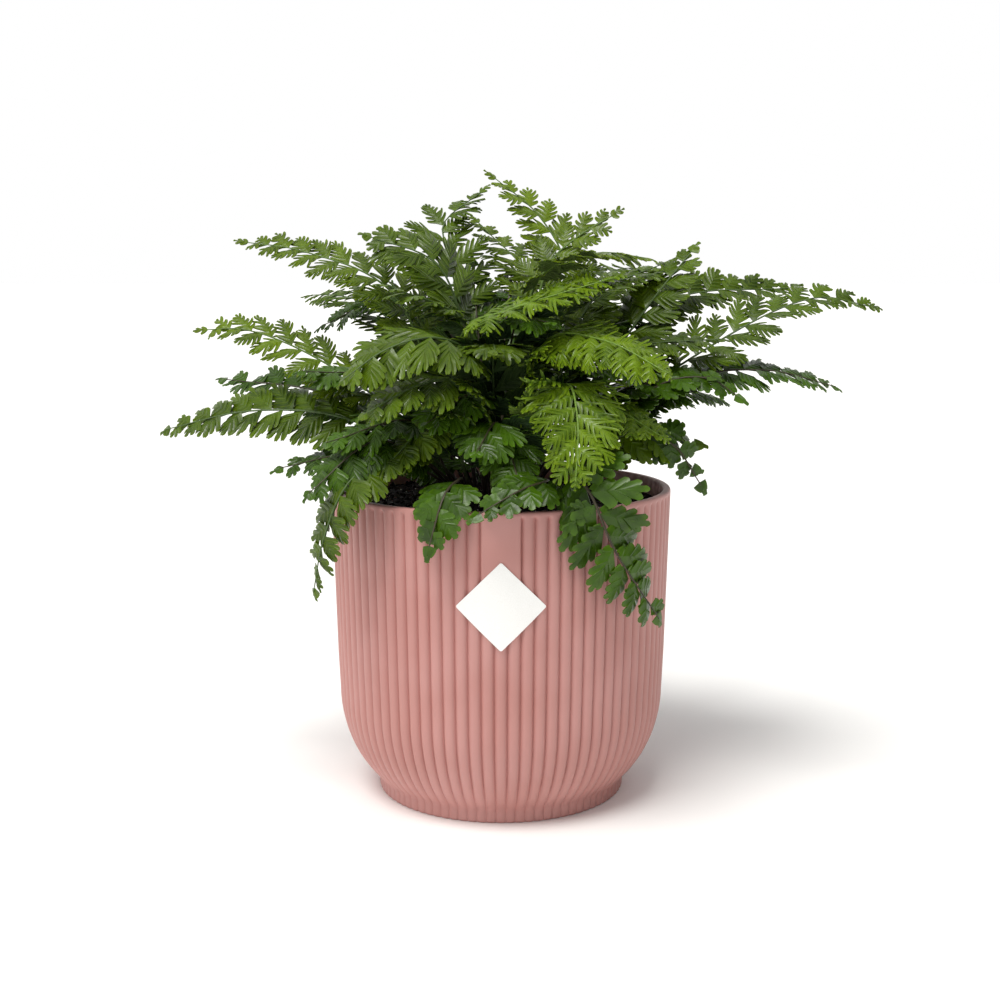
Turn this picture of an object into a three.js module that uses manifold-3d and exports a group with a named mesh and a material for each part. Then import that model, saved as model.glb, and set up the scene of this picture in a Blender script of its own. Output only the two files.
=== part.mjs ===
// A potted mother fern: a ribbed round pot filled with potting soil, a rosette of arching, twice-cut
// fronds whose stalks stand in holes in the soil, one young coiled frond and a blank diamond label.
// Millimetres and degrees. +Z is up and the origin is the centre of the pot's flat underside.
// Azimuth 0 points along +X, 90 along +Y (the back) and 270 at the viewer's side.

import * as THREE from "three";
import { mergeVertices } from "three/addons/utils/BufferGeometryUtils.js";
import Module from "manifold-3d";

const wasm = await Module();
wasm.setup();

// Driving dimensions of the pot
const POT = {
  height: 129,
  rimRadius: 71,
  shoulderRadius: 68.8, // where the straight wall ends and the rounded shoulder begins
  shoulderHeight: 44.6,
  shoulderDepth: 33.6, // how far the shoulder's ellipse would draw in at the ground
  footRadius: 52.2,
  waistRadius: 51.8,
  waistHeight: 5.6,
  wall: 3.2,
  floor: 4,
  innerFloorDraw: 2, // how far the inside's floor is drawn in from the wall
  innerRings: [8, 18], // heights at which the rounded inside gets a ring of points
  lipEase: 0.9, // the rounding on the lip's outer edge
  wallRings: [10, 20], // heights between waist and shoulder where the rounded wall gets a ring of points
  ribs: 84,
  ribDepth: 1.15,
  grooveShare: 0.1, // how near a groove's middle line, in pitches, a column of points is pressed in
  innerSides: 24,
};
// The plain panel among the ribs, at the front near the rim
const PANEL = { azimuth: 270, ribsWide: 3, bottom: 96 };
// The blank diamond label that bridges the ribs
const LABEL = {
  halfDiagonal: 17,
  thickness: 0.6,
  clearance: 0.35,
  height: 92.7,
  azimuth: 270,
  cornerHalf: 0.8,
  columns: 8,
};
// The soil's top is level at the wall, edgeDrop below the rim, and mounded inside moundRadius
const SOIL = { edgeDrop: 7, crownRise: 5.5, moundRadius: 62, gap: 0.35, crumb: 0.9, rings: [64, 42] };
const STALK = { depth: 5, holeClearance: 0.5, holeLength: 24, leave: 16 };
const LEAF = {
  thickness: 0.66,
  stalkThickness: 1.9,
  stalkWidth: 2.1,
  ribThickness: 1.3, // where the blade begins
  ribWidth: 1.5,
  ribThicknessEnd: 0.8,
  ribWidthEnd: 0.9,
  toothed: 0.86, // the share of the blade that carries leaflets, before its toothed tip
  neck: 0.18, // half of a leaflet's neck, as a share of the leaflets' spacing
  widestNeck: 2.4,
  lean: 36, // how far the first leaflets lean towards the tip
  leanGain: 12,
  leanSpread: 8, // how unlike each other the leaflets lean, lift and reach
  liftSpread: 10,
  reachSpread: 0.16,
  fullest: 0.85, // a leaflet's greatest width, as a share of its length
  droop: 0.14, // how far a leaflet's end hangs, as a share of its length
  stalkRings: [0, 0.3, 0.66], // where the bare stalk has points, as shares of its length
  rollFrom: 0.2, // where along the midrib the blade starts to roll, and over what share it does
  rollOver: 0.25,
  shortestTip: 6,
  tipFullness: 1.6, // the toothed tip's width, as a share of the blade's half width there
};
// Rings of the crown on which the stalks stand: the young fronds inside, the old ones outside
const CROWN = { inner: 7.5, middle: 14.5, outer: 23 };
// The young frond that is still coiled up. The eye of its coil lies reach from the axis, and coilRise above
// the rim.
const COIL = {
  azimuth: 262,
  reach: 26,
  coilRise: 31,
  coilRadius: 4.2,
  turns: 1.5,
  tighten: 0.72, // how much of its radius the coil loses on the way in
  drift: 0.15, // how far each step of the coil moves sideways, so that its turns stay apart
  stemRadius: 1.3,
  endRadius: 0.8,
  sides: 5,
  steps: 12,
};

// Small helpers
const rad = THREE.MathUtils.degToRad;
const deg = THREE.MathUtils.radToDeg;
const lerp = THREE.MathUtils.lerp;
const polar = (radius, azimuth, z) =>
  new THREE.Vector3(radius * Math.cos(rad(azimuth)), radius * Math.sin(rad(azimuth)), z);
const heading = (azimuth, elevation) =>
  new THREE.Vector3(
    Math.cos(rad(elevation)) * Math.cos(rad(azimuth)),
    Math.cos(rad(elevation)) * Math.sin(rad(azimuth)),
    Math.sin(rad(elevation)),
  );

// The sum of two vectors, each times its own share
const blend = (a, shareA, b, shareB) => a.clone().multiplyScalar(shareA).addScaledVector(b, shareB);

// A repeatable number from -0.5 to 0.5 for each seed, so that no two leaflets are quite alike
function wobble(seed) {
  const s = Math.sin(seed * 12.9898) * 43758.5453;
  return s - Math.floor(s) - 0.5;
}

function material(hex, roughness) {
  return new THREE.MeshStandardMaterial({ color: hex, roughness, metalness: 0 });
}

const MATERIALS = {
  pot: material(0xcf958b, 0.55),
  soil: material(0x2a1d17, 0.95),
  label: material(0xf6f5f2, 0.6),
  frond: material(0x4b7a2a, 0.42),
  coil: material(0x8a9a4c, 0.7),
};

function toSolid(geometry) {
  const bare = geometry.index ? geometry.toNonIndexed() : geometry.clone();
  bare.deleteAttribute("normal");
  bare.deleteAttribute("uv");
  const merged = mergeVertices(bare, 1e-4);
  return new wasm.Manifold(
    new wasm.Mesh({
      numProp: 3,
      vertProperties: new Float32Array(merged.attributes.position.array),
      triVerts: new Uint32Array(merged.index.array),
    }),
  );
}

function toGeometry(solid) {
  const mesh = solid.getMesh();
  const geometry = new THREE.BufferGeometry();
  geometry.setAttribute("position", new THREE.BufferAttribute(new Float32Array(mesh.vertProperties), 3));
  geometry.setIndex(new THREE.BufferAttribute(new Uint32Array(mesh.triVerts), 1));
  return geometry;
}

// A closed body turned about Z from a profile of [radius, height] pairs that ends on the axis
function turned(profile, sides, start = 0) {
  const points = profile.map(([r, z]) => new THREE.Vector2(r, z));
  return new THREE.LatheGeometry(points, sides, start).rotateX(Math.PI / 2);
}

// A thin closed plate from a sheet of triangles: each sheet point has its place, its normal and half the
// plate's thickness there. Both faces share the same triangles, so they never cross.
function plate(points, triangles) {
  const count = points.length;
  const positions = [];
  for (const side of [1, -1])
    for (const { at, normal, half } of points)
      positions.push(...at.clone().addScaledVector(normal, side * half));
  const index = [];
  const edges = new Map();
  for (const [a, b, c] of triangles) {
    index.push(a, b, c, a + count, c + count, b + count);
    for (const [i, j] of [[a, b], [b, c], [c, a]]) {
      if (edges.has(`${j},${i}`)) edges.delete(`${j},${i}`);
      else edges.set(`${i},${j}`, [i, j]);
    }
  }
  for (const [i, j] of edges.values()) index.push(j, i, i + count, j, i + count, j + count);
  const geometry = new THREE.BufferGeometry();
  geometry.setAttribute("position", new THREE.BufferAttribute(new Float32Array(positions), 3));
  geometry.setIndex(index);
  return geometry;
}

// The pot's outer radius over the ribs' crests at a height
function crestRadius(z) {
  const { height, rimRadius, shoulderRadius, shoulderHeight, shoulderDepth } = POT;
  if (z >= shoulderHeight)
    return shoulderRadius + ((rimRadius - shoulderRadius) * (z - shoulderHeight)) / (height - shoulderHeight);
  const u = (shoulderHeight - z) / shoulderHeight;
  const shoulder = shoulderRadius - shoulderDepth * (1 - Math.sqrt(1 - u * u));
  return Math.max(shoulder, POT.waistRadius);
}

// The pot: ribs are pressed into a turned body by moving every other column of its points inwards
function potGeometry() {
  const { height, lipEase, waistHeight, footRadius, ribs, ribDepth, innerSides } = POT;
  const wallHeights = [waistHeight, ...POT.wallRings, POT.shoulderHeight, height - 2 * lipEase];
  const lipRadius = POT.rimRadius - 1.5 * lipEase;
  const profile = [
    [0, 0],
    [footRadius, 0],
    ...wallHeights.map((z) => [crestRadius(z), z]),
    [lipRadius, height],
    [0, height],
  ];
  const outer = turned(profile, 2 * ribs);
  const position = outer.attributes.position;
  const pitch = 360 / ribs;
  const panelHalf = (PANEL.ribsWide / 2) * pitch;
  for (let i = 0; i < position.count; i++) {
    const [x, y, z] = [position.getX(i), position.getY(i), position.getZ(i)];
    const radius = Math.hypot(x, y);
    const azimuth = (deg(Math.atan2(y, x)) + 360) % 360;
    // Grooves lie half a pitch from the panel's middle line, crests between them
    const phase = ((azimuth - PANEL.azimuth) / pitch + 200.5) % 1;
    const groove = Math.min(phase, 1 - phase) < POT.grooveShare;
    const inPanel = Math.abs(azimuth - PANEL.azimuth) < panelHalf - 0.1 && z > PANEL.bottom;
    const onFaces = z < 0.5 || z > height - 0.5;
    if (!groove || inPanel || onFaces) continue;
    const scale = (radius - ribDepth) / radius;
    position.setXY(i, x * scale, y * scale);
  }
  const cavity = turned(innerProfile(0, height + 1), innerSides);
  return toGeometry(toSolid(outer).subtract(toSolid(cavity)));
}

// The pot's inside, drawn in by a clearance, from its floor up to a given height
function innerProfile(clearance, top) {
  const { wall, floor, innerFloorDraw, innerRings } = POT;
  const inner = (z) => crestRadius(z) - wall - clearance;
  return [
    [0, floor + clearance],
    [inner(innerRings[0]) - innerFloorDraw, floor + clearance],
    [inner(innerRings[1]), innerRings[1]],
    [inner(POT.shoulderHeight), POT.shoulderHeight],
    [inner(top), top],
    [0, top],
  ];
}

// Height of the soil: dished to the wall, mounded to the crown
function soilHeight(x, y) {
  const radius = Math.hypot(x, y);
  const edge = POT.height - SOIL.edgeDrop;
  const share = Math.max(0, 1 - radius / SOIL.moundRadius);
  return edge + SOIL.crownRise * Math.sin((share * Math.PI) / 2);
}

function soilGeometry(holes) {
  const edge = POT.height - SOIL.edgeDrop;
  const profile = innerProfile(SOIL.gap, edge);
  profile.pop();
  for (const r of SOIL.rings) profile.push([r, soilHeight(r, 0)]);
  profile.push([0, soilHeight(0, 0)]);
  const body = turned(profile, POT.innerSides);
  const position = body.attributes.position;
  for (let i = 0; i < position.count; i++) {
    const [x, y, z] = [position.getX(i), position.getY(i), position.getZ(i)];
    const radius = Math.hypot(x, y);
    if (z < edge || radius > SOIL.rings[0] + 0.5 || radius < 1) continue;
    const seed = Math.round(x * 3.1) + Math.round(y * 7.7) * 0.37;
    position.setZ(i, z + SOIL.crumb * wobble(seed));
  }
  let solid = toSolid(body);
  for (const hole of holes) solid = solid.subtract(toSolid(hole));
  return toGeometry(solid);
}

// The label: a diamond sheet bent round the ribs' crests
function labelGeometry() {
  const { halfDiagonal, thickness, clearance, height, azimuth, cornerHalf, columns } = LABEL;
  const points = [];
  const triangles = [];
  for (let i = 0; i <= columns; i++) {
    const across = -halfDiagonal + (2 * halfDiagonal * i) / columns;
    const rise = Math.max(cornerHalf, halfDiagonal - Math.abs(across));
    for (const end of [-1, 1]) {
      const z = height + end * rise;
      const radius = crestRadius(z) + clearance + thickness / 2;
      const turn = azimuth + deg(across / radius);
      points.push({ at: polar(radius, turn, z), normal: heading(turn, 0), half: thickness / 2 });
    }
    if (i === 0) continue;
    const [low, high, lowNow, highNow] = [2 * i - 2, 2 * i - 1, 2 * i, 2 * i + 1];
    triangles.push([low, lowNow, highNow], [low, highNow, high]);
  }
  return plate(points, triangles);
}

// Leaflet outlines as [share of length, share of width] from the near base round the tip to the far base.
// The cut leaflet has narrow fingers and the fan leaflet has blunt, wedge-shaped lobes.
const LEAFLETS = {
  cut: [[0.7, -0.56], [0.56, -0.2], [1, -0.02], [0.62, 0.2], [0.78, 0.56]],
  fan: [[0.48, -0.5], [0.82, -0.5], [0.76, -0.18], [1, 0.02], [0.78, 0.2], [0.74, 0.56]],
};
const TIP = [[0.3, -0.5], [0.42, -0.24], [1, 0], [0.52, 0.24], [0.4, 0.5]];

// Fronds, hand placed round the crown. A place is [azimuth, distance from the axis, height above the rim].
// Each frond stands on a ring of the crown at the azimuth root, leaves the soil at the climb launch, passes
// over the places in over and ends at tip. Where over is empty the line ends at the climb arrive. roll tips
// the blade about its midrib, vee lifts its leaflets, half is the blade's half width, bare is the leafless
// stalk's share of the length and pairs counts the leaflets on one side.
const FRONDS = [
  // Left side
  {
    name: "left_crest", root: 176, ring: "middle", launch: 68, over: [[177, 45, 80], [176, 82, 97]],
    tip: [175, 108, 101], roll: 35, vee: 8, half: 22, bare: 0.38, pairs: 6, leaflet: "cut",
  },
  {
    name: "left_arch", root: 190, ring: "middle", launch: 66, over: [[184, 70, 50], [181, 105, 65]],
    tip: [181, 123, 65], roll: 30, vee: 8, half: 22, bare: 0.4, pairs: 6, leaflet: "cut",
  },
  {
    name: "left_rear", root: 165, ring: "outer", launch: 60, over: [[165, 76, 36]], tip: [164, 127, 42],
    roll: 25, vee: 8, half: 20, bare: 0.42, pairs: 5, leaflet: "fan",
  },
  {
    name: "left_long", root: 203, ring: "outer", launch: 58, over: [[199, 65, 30], [190, 103, 33]],
    tip: [186, 138, 25], roll: 40, vee: 6, half: 21, bare: 0.28, pairs: 6, leaflet: "fan",
  },
  {
    name: "left_shade", root: 210, ring: "outer", launch: 46, over: [[207, 62, 17]], tip: [206, 96, 13],
    roll: 20, vee: 0, half: 16, bare: 0.36, pairs: 4, leaflet: "fan",
  },
  {
    name: "left_drape", root: 228, ring: "outer", launch: 56,
    over: [[228, 56, 21], [226, 83, 10], [223, 92, -11]], tip: [220, 94, -33], roll: 5, vee: -4, half: 18,
    bare: 0.3, pairs: 5, leaflet: "fan", face: 245,
  },
  {
    name: "left_back_high", root: 148, ring: "middle", launch: 64, over: [], tip: [148, 102, 78],
    arrive: -6, roll: 15, vee: 8, half: 26, bare: 0.34, pairs: 5, leaflet: "cut",
  },
  {
    name: "left_back_low", root: 142, ring: "outer", launch: 56, over: [], tip: [140, 112, 24],
    arrive: -22, roll: 10, vee: 4, half: 27, bare: 0.28, pairs: 5, leaflet: "fan",
  },
  // Top
  {
    name: "top_left", root: 130, ring: "inner", launch: 86, over: [[124, 38, 93], [121, 49, 109]],
    tip: [99, 51, 124], roll: 0, vee: 10, half: 24, bare: 0.5, pairs: 5, leaflet: "cut",
  },
  {
    name: "top_spire", root: 45, ring: "inner", launch: 82, over: [[36, 34, 88], [60, 33, 112]],
    tip: [97, 30, 129], roll: 30, vee: 8, half: 21, bare: 0.5, pairs: 5, leaflet: "cut", face: 150,
  },
  {
    name: "top_right", root: 4, ring: "inner", launch: 84, over: [[17, 20, 90], [11, 31, 102]],
    tip: [7, 47, 112], roll: -55, vee: 8, half: 17, bare: 0.58, pairs: 5, leaflet: "cut",
  },
  {
    name: "top_flat_left", root: 172, ring: "inner", launch: 84, over: [[190, 25, 90]],
    tip: [186, 54, 103], roll: 40, vee: 6, half: 24, bare: 0.58, pairs: 5, leaflet: "cut",
  },
  {
    name: "top_flat_right", root: 318, ring: "inner", launch: 84, over: [[311, 23, 86], [324, 46, 96]],
    tip: [329, 66, 94], roll: 0, vee: 4, half: 20, bare: 0.63, pairs: 5, leaflet: "fan",
  },
  // Right side
  {
    name: "right_crest", root: 6, ring: "middle", launch: 66, over: [[7, 60, 72]], tip: [10, 82, 98],
    roll: -35, vee: 8, half: 20, bare: 0.5, pairs: 5, leaflet: "fan",
  },
  {
    name: "right_upper", root: 22, ring: "middle", launch: 62, over: [[20, 72, 74]], tip: [16, 134, 82],
    roll: -34, vee: 16, half: 19, bare: 0.42, pairs: 6, leaflet: "fan",
  },
  {
    name: "right_long", root: 352, ring: "middle", launch: 58, over: [[358, 78, 53], [1, 130, 78]],
    tip: [1, 155, 74], roll: -30, vee: 12, half: 22, bare: 0.4, pairs: 7, leaflet: "cut",
  },
  {
    name: "right_low", root: 352, ring: "outer", launch: 60, over: [[354, 74, 44], [355, 108, 49]],
    tip: [357, 138, 42], roll: -20, vee: 6, half: 21, bare: 0.4, pairs: 5, leaflet: "fan",
  },
  {
    name: "right_small", root: 336, ring: "outer", launch: 62, over: [[337, 70, 45], [340, 88, 47]],
    tip: [341, 99, 40], roll: -25, vee: 4, half: 15, bare: 0.48, pairs: 4, leaflet: "fan",
  },
  {
    name: "right_fan", root: 343, ring: "outer", launch: 54, over: [[336, 58, 24], [337, 74, 21]],
    tip: [341, 85, 4], roll: -70, vee: 0, half: 13, bare: 0.42, pairs: 4, leaflet: "fan", face: 330,
  },
  {
    name: "right_lime", root: 322, ring: "outer", launch: 60, over: [[320, 50, 36]], tip: [317, 84, 27],
    roll: -15, vee: 4, half: 18, bare: 0.38, pairs: 5, leaflet: "cut",
  },
  {
    name: "right_back_high", root: 54, ring: "middle", launch: 68, over: [], tip: [52, 106, 90],
    arrive: -4, roll: -10, vee: 8, half: 25, bare: 0.4, pairs: 5, leaflet: "cut",
  },
  {
    name: "right_back_low", root: 33, ring: "outer", launch: 56, over: [], tip: [31, 120, 30],
    arrive: -20, roll: -10, vee: 4, half: 27, bare: 0.28, pairs: 5, leaflet: "fan",
  },
  // Front
  {
    name: "front_lime", root: 286, ring: "outer", launch: 72, over: [[300, 50, 46], [293, 73, 34]],
    tip: [289, 84, 13], roll: 0, vee: 4, half: 29, bare: 0.34, pairs: 6, leaflet: "cut",
  },
  {
    name: "front_crown", root: 298, ring: "middle", launch: 80, over: [[301, 35, 62], [308, 64, 63]],
    tip: [312, 92, 52], roll: -20, vee: -4, half: 26, bare: 0.4, pairs: 6, leaflet: "cut",
  },
  {
    name: "front_fan", root: 252, ring: "inner", launch: 84,
    over: [[250, 28, 53], [242, 54, 64], [232, 70, 60]], tip: [226, 85, 49], roll: 20, vee: -4, half: 27,
    bare: 0.5, pairs: 6, leaflet: "fan",
  },
  {
    name: "front_fan_low", root: 254, ring: "outer", launch: 70, over: [[250, 44, 46], [241, 60, 47]],
    tip: [231, 82, 36], roll: 15, vee: -4, half: 24, bare: 0.36, pairs: 5, leaflet: "fan",
  },
  {
    name: "front_shade", root: 270, ring: "outer", launch: 60, over: [[268, 42, 31]], tip: [262, 66, 22],
    roll: 0, vee: -4, half: 22, bare: 0.38, pairs: 5, leaflet: "fan",
  },
  {
    name: "front_sweep", root: 224, ring: "middle", launch: 82, over: [[236, 27, 65], [274, 37, 74]],
    tip: [317, 61, 87], roll: -25, vee: 8, half: 18, bare: 0.58, pairs: 6, leaflet: "cut", face: 300,
  },
  {
    name: "front_high", root: 213, ring: "inner", launch: 84, over: [[219, 18, 67]], tip: [217, 57, 84],
    roll: 0, vee: -6, half: 17, bare: 0.6, pairs: 4, leaflet: "fan",
  },
  {
    name: "front_low", root: 297, ring: "outer", launch: 40, over: [[287, 60, 10], [276, 73, 9]],
    tip: [264, 82, 1], roll: 25, vee: 0, half: 16, bare: 0.36, pairs: 4, leaflet: "fan",
  },
  {
    name: "drape_right", root: 308, ring: "outer", launch: 44,
    over: [[296, 60, 13], [295, 79, 7], [300, 84, -13]], tip: [315, 86, -43], roll: -60, vee: 0, half: 23,
    bare: 0.42, pairs: 6, leaflet: "fan", face: 330,
  },
  {
    name: "drape_left", root: 241, ring: "outer", launch: 40, over: [[253, 54, 10], [253, 73, 6]],
    tip: [251, 82, -12], roll: 0, vee: 0, half: 15, bare: 0.6, pairs: 3, leaflet: "fan",
  },
  // Back
  {
    name: "back_high", root: 88, ring: "inner", launch: 80, over: [[70, 43, 80]], tip: [100, 66, 112],
    arrive: 4, roll: 0, vee: 8, half: 25, bare: 0.34, pairs: 5, leaflet: "cut",
  },
  {
    name: "back_right", root: 70, ring: "middle", launch: 64, over: [], tip: [65, 118, 58], arrive: -12,
    roll: 0, vee: 8, half: 27, bare: 0.3, pairs: 5, leaflet: "fan",
  },
  {
    name: "back_left", root: 112, ring: "middle", launch: 64, over: [], tip: [112, 118, 62], arrive: -8,
    roll: 0, vee: 8, half: 27, bare: 0.3, pairs: 5, leaflet: "cut",
  },
  {
    name: "back_low_right", root: 64, ring: "outer", launch: 56, over: [], tip: [61, 108, 10],
    arrive: -36, roll: 0, vee: 0, half: 28, bare: 0.26, pairs: 5, leaflet: "cut",
  },
  {
    name: "back_low", root: 88, ring: "outer", launch: 58, over: [], tip: [88, 114, 24], arrive: -30,
    roll: 0, vee: 0, half: 25, bare: 0.26, pairs: 5, leaflet: "fan",
  },
  {
    name: "back_low_left", root: 114, ring: "outer", launch: 56, over: [], tip: [114, 106, 8],
    arrive: -40, roll: 0, vee: 0, half: 28, bare: 0.26, pairs: 5, leaflet: "fan",
  },
];

// The line that a frond's midrib follows, from inside its hole in the soil to its tip
function midrib(frond) {
  const { root, ring, launch, over, tip, arrive } = frond;
  const place = ([azimuth, reach, rise]) => polar(reach, azimuth, POT.height + rise);
  const foot = polar(CROWN[ring], root, 0);
  const climb = heading(root, launch);
  foot.z = soilHeight(foot.x, foot.y);
  foot.addScaledVector(climb, -STALK.depth);
  const end = place(tip);
  if (over.length > 0) {
    const leave = foot.clone().addScaledVector(climb, STALK.leave);
    return new THREE.CatmullRomCurve3([foot, leave, ...over.map(place), end], false, "centripetal");
  }
  const pull = 0.45 * foot.distanceTo(end);
  const leave = foot.clone().addScaledVector(climb, pull);
  const enter = end.clone().addScaledVector(heading(tip[0], arrive), -pull);
  return new THREE.CubicBezierCurve3(foot, leave, enter, end);
}

// The blade's axes at a share of the midrib: along it, to its right and up out of the leaf
function bladeAxes(frond, line, share) {
  const along = line.getTangentAt(share);
  const ahead = along.clone().addScaledVector(heading(frond.face ?? frond.tip[0], 0), 0.35);
  const right = new THREE.Vector3(ahead.y, -ahead.x, 0);
  right.addScaledVector(along, -right.dot(along)).normalize();
  const up = right.clone().cross(along);
  const tilt = rad(frond.roll) * Math.min(1, Math.max(0, (share - LEAF.rollFrom) / LEAF.rollOver));
  const rolled = blend(right, Math.cos(tilt), up, Math.sin(tilt));
  return { along, right: rolled, up: rolled.clone().cross(along) };
}

// Half the blade's width at a share of its own length: widest near the stalk, long and narrow at the tip
function bladeHalf(frond, share) {
  return frond.half * Math.min(1, 0.72 + 1.5 * share) * Math.pow(1 - share, 0.68) + 1;
}

// A sheet of triangles that grows point by point. Besides its place in space, its normal and half the
// plate's thickness, each point has its place [x, y] on the leaf laid flat, where the triangles are laid out.
class Sheet {
  points = [];
  flat = [];
  triangles = [];

  addPoint(at, normal, half, x, y) {
    this.points.push({ at, normal, half });
    this.flat.push([x, y]);
    return this.points.length - 1;
  }

  addTriangle(a, b, c) {
    const [p, q, r] = [this.flat[a], this.flat[b], this.flat[c]];
    const area = (q[0] - p[0]) * (r[1] - p[1]) - (q[1] - p[1]) * (r[0] - p[0]);
    this.triangles.push(area > 0 ? [a, b, c] : [a, c, b]);
  }

  // Triangles inside a closed contour of points
  fill(contour) {
    const outline = contour.map((p) => new THREE.Vector2(...this.flat[p]));
    for (const [a, b, c] of THREE.ShapeUtils.triangulateShape(outline, []))
      this.addTriangle(contour[a], contour[b], contour[c]);
  }

  // Triangles between two edges, each a list of [distance along the edge, point]
  fillStrip(left, right) {
    let [l, r] = [0, 0];
    while (l < left.length - 1 || r < right.length - 1) {
      const rightIsDone = r === right.length - 1;
      const leftIsNext = l < left.length - 1 && (rightIsDone || left[l + 1][0] <= right[r + 1][0]);
      const [from, to] = [left[l][1], right[r][1]];
      if (leftIsNext) this.addTriangle(from, to, left[++l][1]);
      else this.addTriangle(from, to, right[++r][1]);
    }
  }
}

// One frond as a closed plate: stalk and midrib are a strip, and each leaflet is cut out beside it
class Leaf {
  constructor(frond, seed) {
    this.frond = frond;
    this.seed = seed;
    this.line = midrib(frond);
    this.length = this.line.getLength();
    this.stalk = frond.bare * this.length;
    this.blade = this.length - this.stalk;
    this.spacing = (this.blade * LEAF.toothed) / frond.pairs;
    this.sheet = new Sheet();
    this.edges = { [-1]: [], [1]: [] };
  }

  // Puts a point on one edge of the stalk or midrib: side is -1 on the left and 1 on the right
  addEdgePoint(distance, side) {
    const share = distance / this.length;
    const axes = bladeAxes(this.frond, this.line, share);
    const blade = Math.max(0, (distance - this.stalk) / this.blade);
    const onStalk = share < this.frond.bare;
    const width = onStalk ? LEAF.stalkWidth : lerp(LEAF.ribWidth, LEAF.ribWidthEnd, blade);
    const thick = onStalk ? LEAF.stalkThickness : lerp(LEAF.ribThickness, LEAF.ribThicknessEnd, blade);
    const offset = (side * width) / 2;
    const at = this.line.getPointAt(share).addScaledVector(axes.right, offset);
    const point = this.sheet.addPoint(at, axes.up, thick / 2, offset, distance);
    this.edges[side].push([distance, point]);
    return point;
  }

  // The leaflet number i on one side, widest across its middle and drooping towards its end
  addLeaflet(side, i) {
    const { frond, seed, sheet, spacing } = this;
    const centre = this.stalk + spacing * (i + (side > 0 ? 0.32 : 0.68));
    const blade = (centre - this.stalk) / this.blade;
    const neck = Math.min(LEAF.widestNeck, spacing * LEAF.neck);
    const near = this.addEdgePoint(centre - neck, side);
    const far = this.addEdgePoint(centre + neck, side);
    const axes = bladeAxes(frond, this.line, centre / this.length);
    const lean = rad(LEAF.lean + LEAF.leanGain * blade + LEAF.leanSpread * wobble(seed + i * 2 + side));
    const lift = rad(frond.vee + LEAF.liftSpread * wobble(seed + 31 + i * 2 + side));
    const out = blend(axes.right, side * Math.cos(lean), axes.along, Math.sin(lean));
    const across = blend(axes.right, -side * Math.sin(lean), axes.along, Math.cos(lean));
    const raised = blend(out, Math.cos(lift), axes.up, Math.sin(lift));
    const normal = blend(axes.up, Math.cos(lift), out, -Math.sin(lift));
    const spread = 1 + LEAF.reachSpread * wobble(seed + 57 + i * 3 + side);
    const reach = (bladeHalf(frond, blade) / Math.cos(lean)) * spread;
    const width = Math.min(spacing * Math.cos(lean) * 1.02, reach * LEAF.fullest);
    const base = sheet.points[near].at.clone().lerp(sheet.points[far].at, 0.5);
    const flatBase = (sheet.flat[near][0] + sheet.flat[far][0]) / 2;
    const ring = LEAFLETS[frond.leaflet].map(([a, b]) => {
      const at = base.clone().addScaledVector(raised, a * reach).addScaledVector(across, b * width);
      at.addScaledVector(axes.up, -LEAF.droop * reach * a * a);
      const x = flatBase + side * (a * reach * Math.cos(lean) - b * width * Math.sin(lean));
      const y = centre + a * reach * Math.sin(lean) + b * width * Math.cos(lean);
      return sheet.addPoint(at, normal, LEAF.thickness / 2, x, y);
    });
    sheet.fill([near, ...ring, far]);
  }

  // The toothed tip beyond the last leaflets, between the ends of the midrib's two edges
  addTip(left, right) {
    const { line, length, sheet } = this;
    const end = this.stalk + this.spacing * this.frond.pairs;
    const axes = bladeAxes(this.frond, line, end / length);
    const tipLength = Math.max(length - end, LEAF.shortestTip);
    const tipWidth = LEAF.tipFullness * bladeHalf(this.frond, 0.9);
    const ring = TIP.map(([a, b]) => {
      const share = Math.min(1, (end + a * tipLength) / length);
      const at = line.getPointAt(share).addScaledVector(axes.right, b * tipWidth);
      return sheet.addPoint(at, axes.up, LEAF.thickness / 2, b * tipWidth, end + a * tipLength);
    });
    sheet.fill([right, ...ring.reverse(), left]);
  }

  geometry() {
    const sides = [-1, 1];
    for (const share of LEAF.stalkRings)
      for (const side of sides) this.addEdgePoint(share * this.stalk, side);
    for (const side of sides)
      for (let i = 0; i < this.frond.pairs; i++) this.addLeaflet(side, i);
    const end = this.stalk + this.spacing * this.frond.pairs;
    const [left, right] = sides.map((side) => this.addEdgePoint(end, side));
    this.sheet.fillStrip(this.edges[-1], this.edges[1]);
    this.addTip(left, right);
    return plate(this.sheet.points, this.sheet.triangles);
  }
}

// The hole in the soil that a stalk stands in: the stalk's own section with clearance all round
function stalkHole(frond) {
  const line = midrib(frond);
  const { along, right, up } = bladeAxes(frond, line, 0);
  const { stalkWidth, stalkThickness } = LEAF;
  const slack = STALK.holeClearance;
  const hole = new THREE.BoxGeometry(stalkWidth + 2 * slack, STALK.holeLength, stalkThickness + 2 * slack);
  hole.applyMatrix4(new THREE.Matrix4().makeBasis(right, along, up));
  const middle = line.getPointAt(0).addScaledVector(along, STALK.holeLength / 2 - slack);
  return hole.translate(middle.x, middle.y, middle.z);
}

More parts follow.
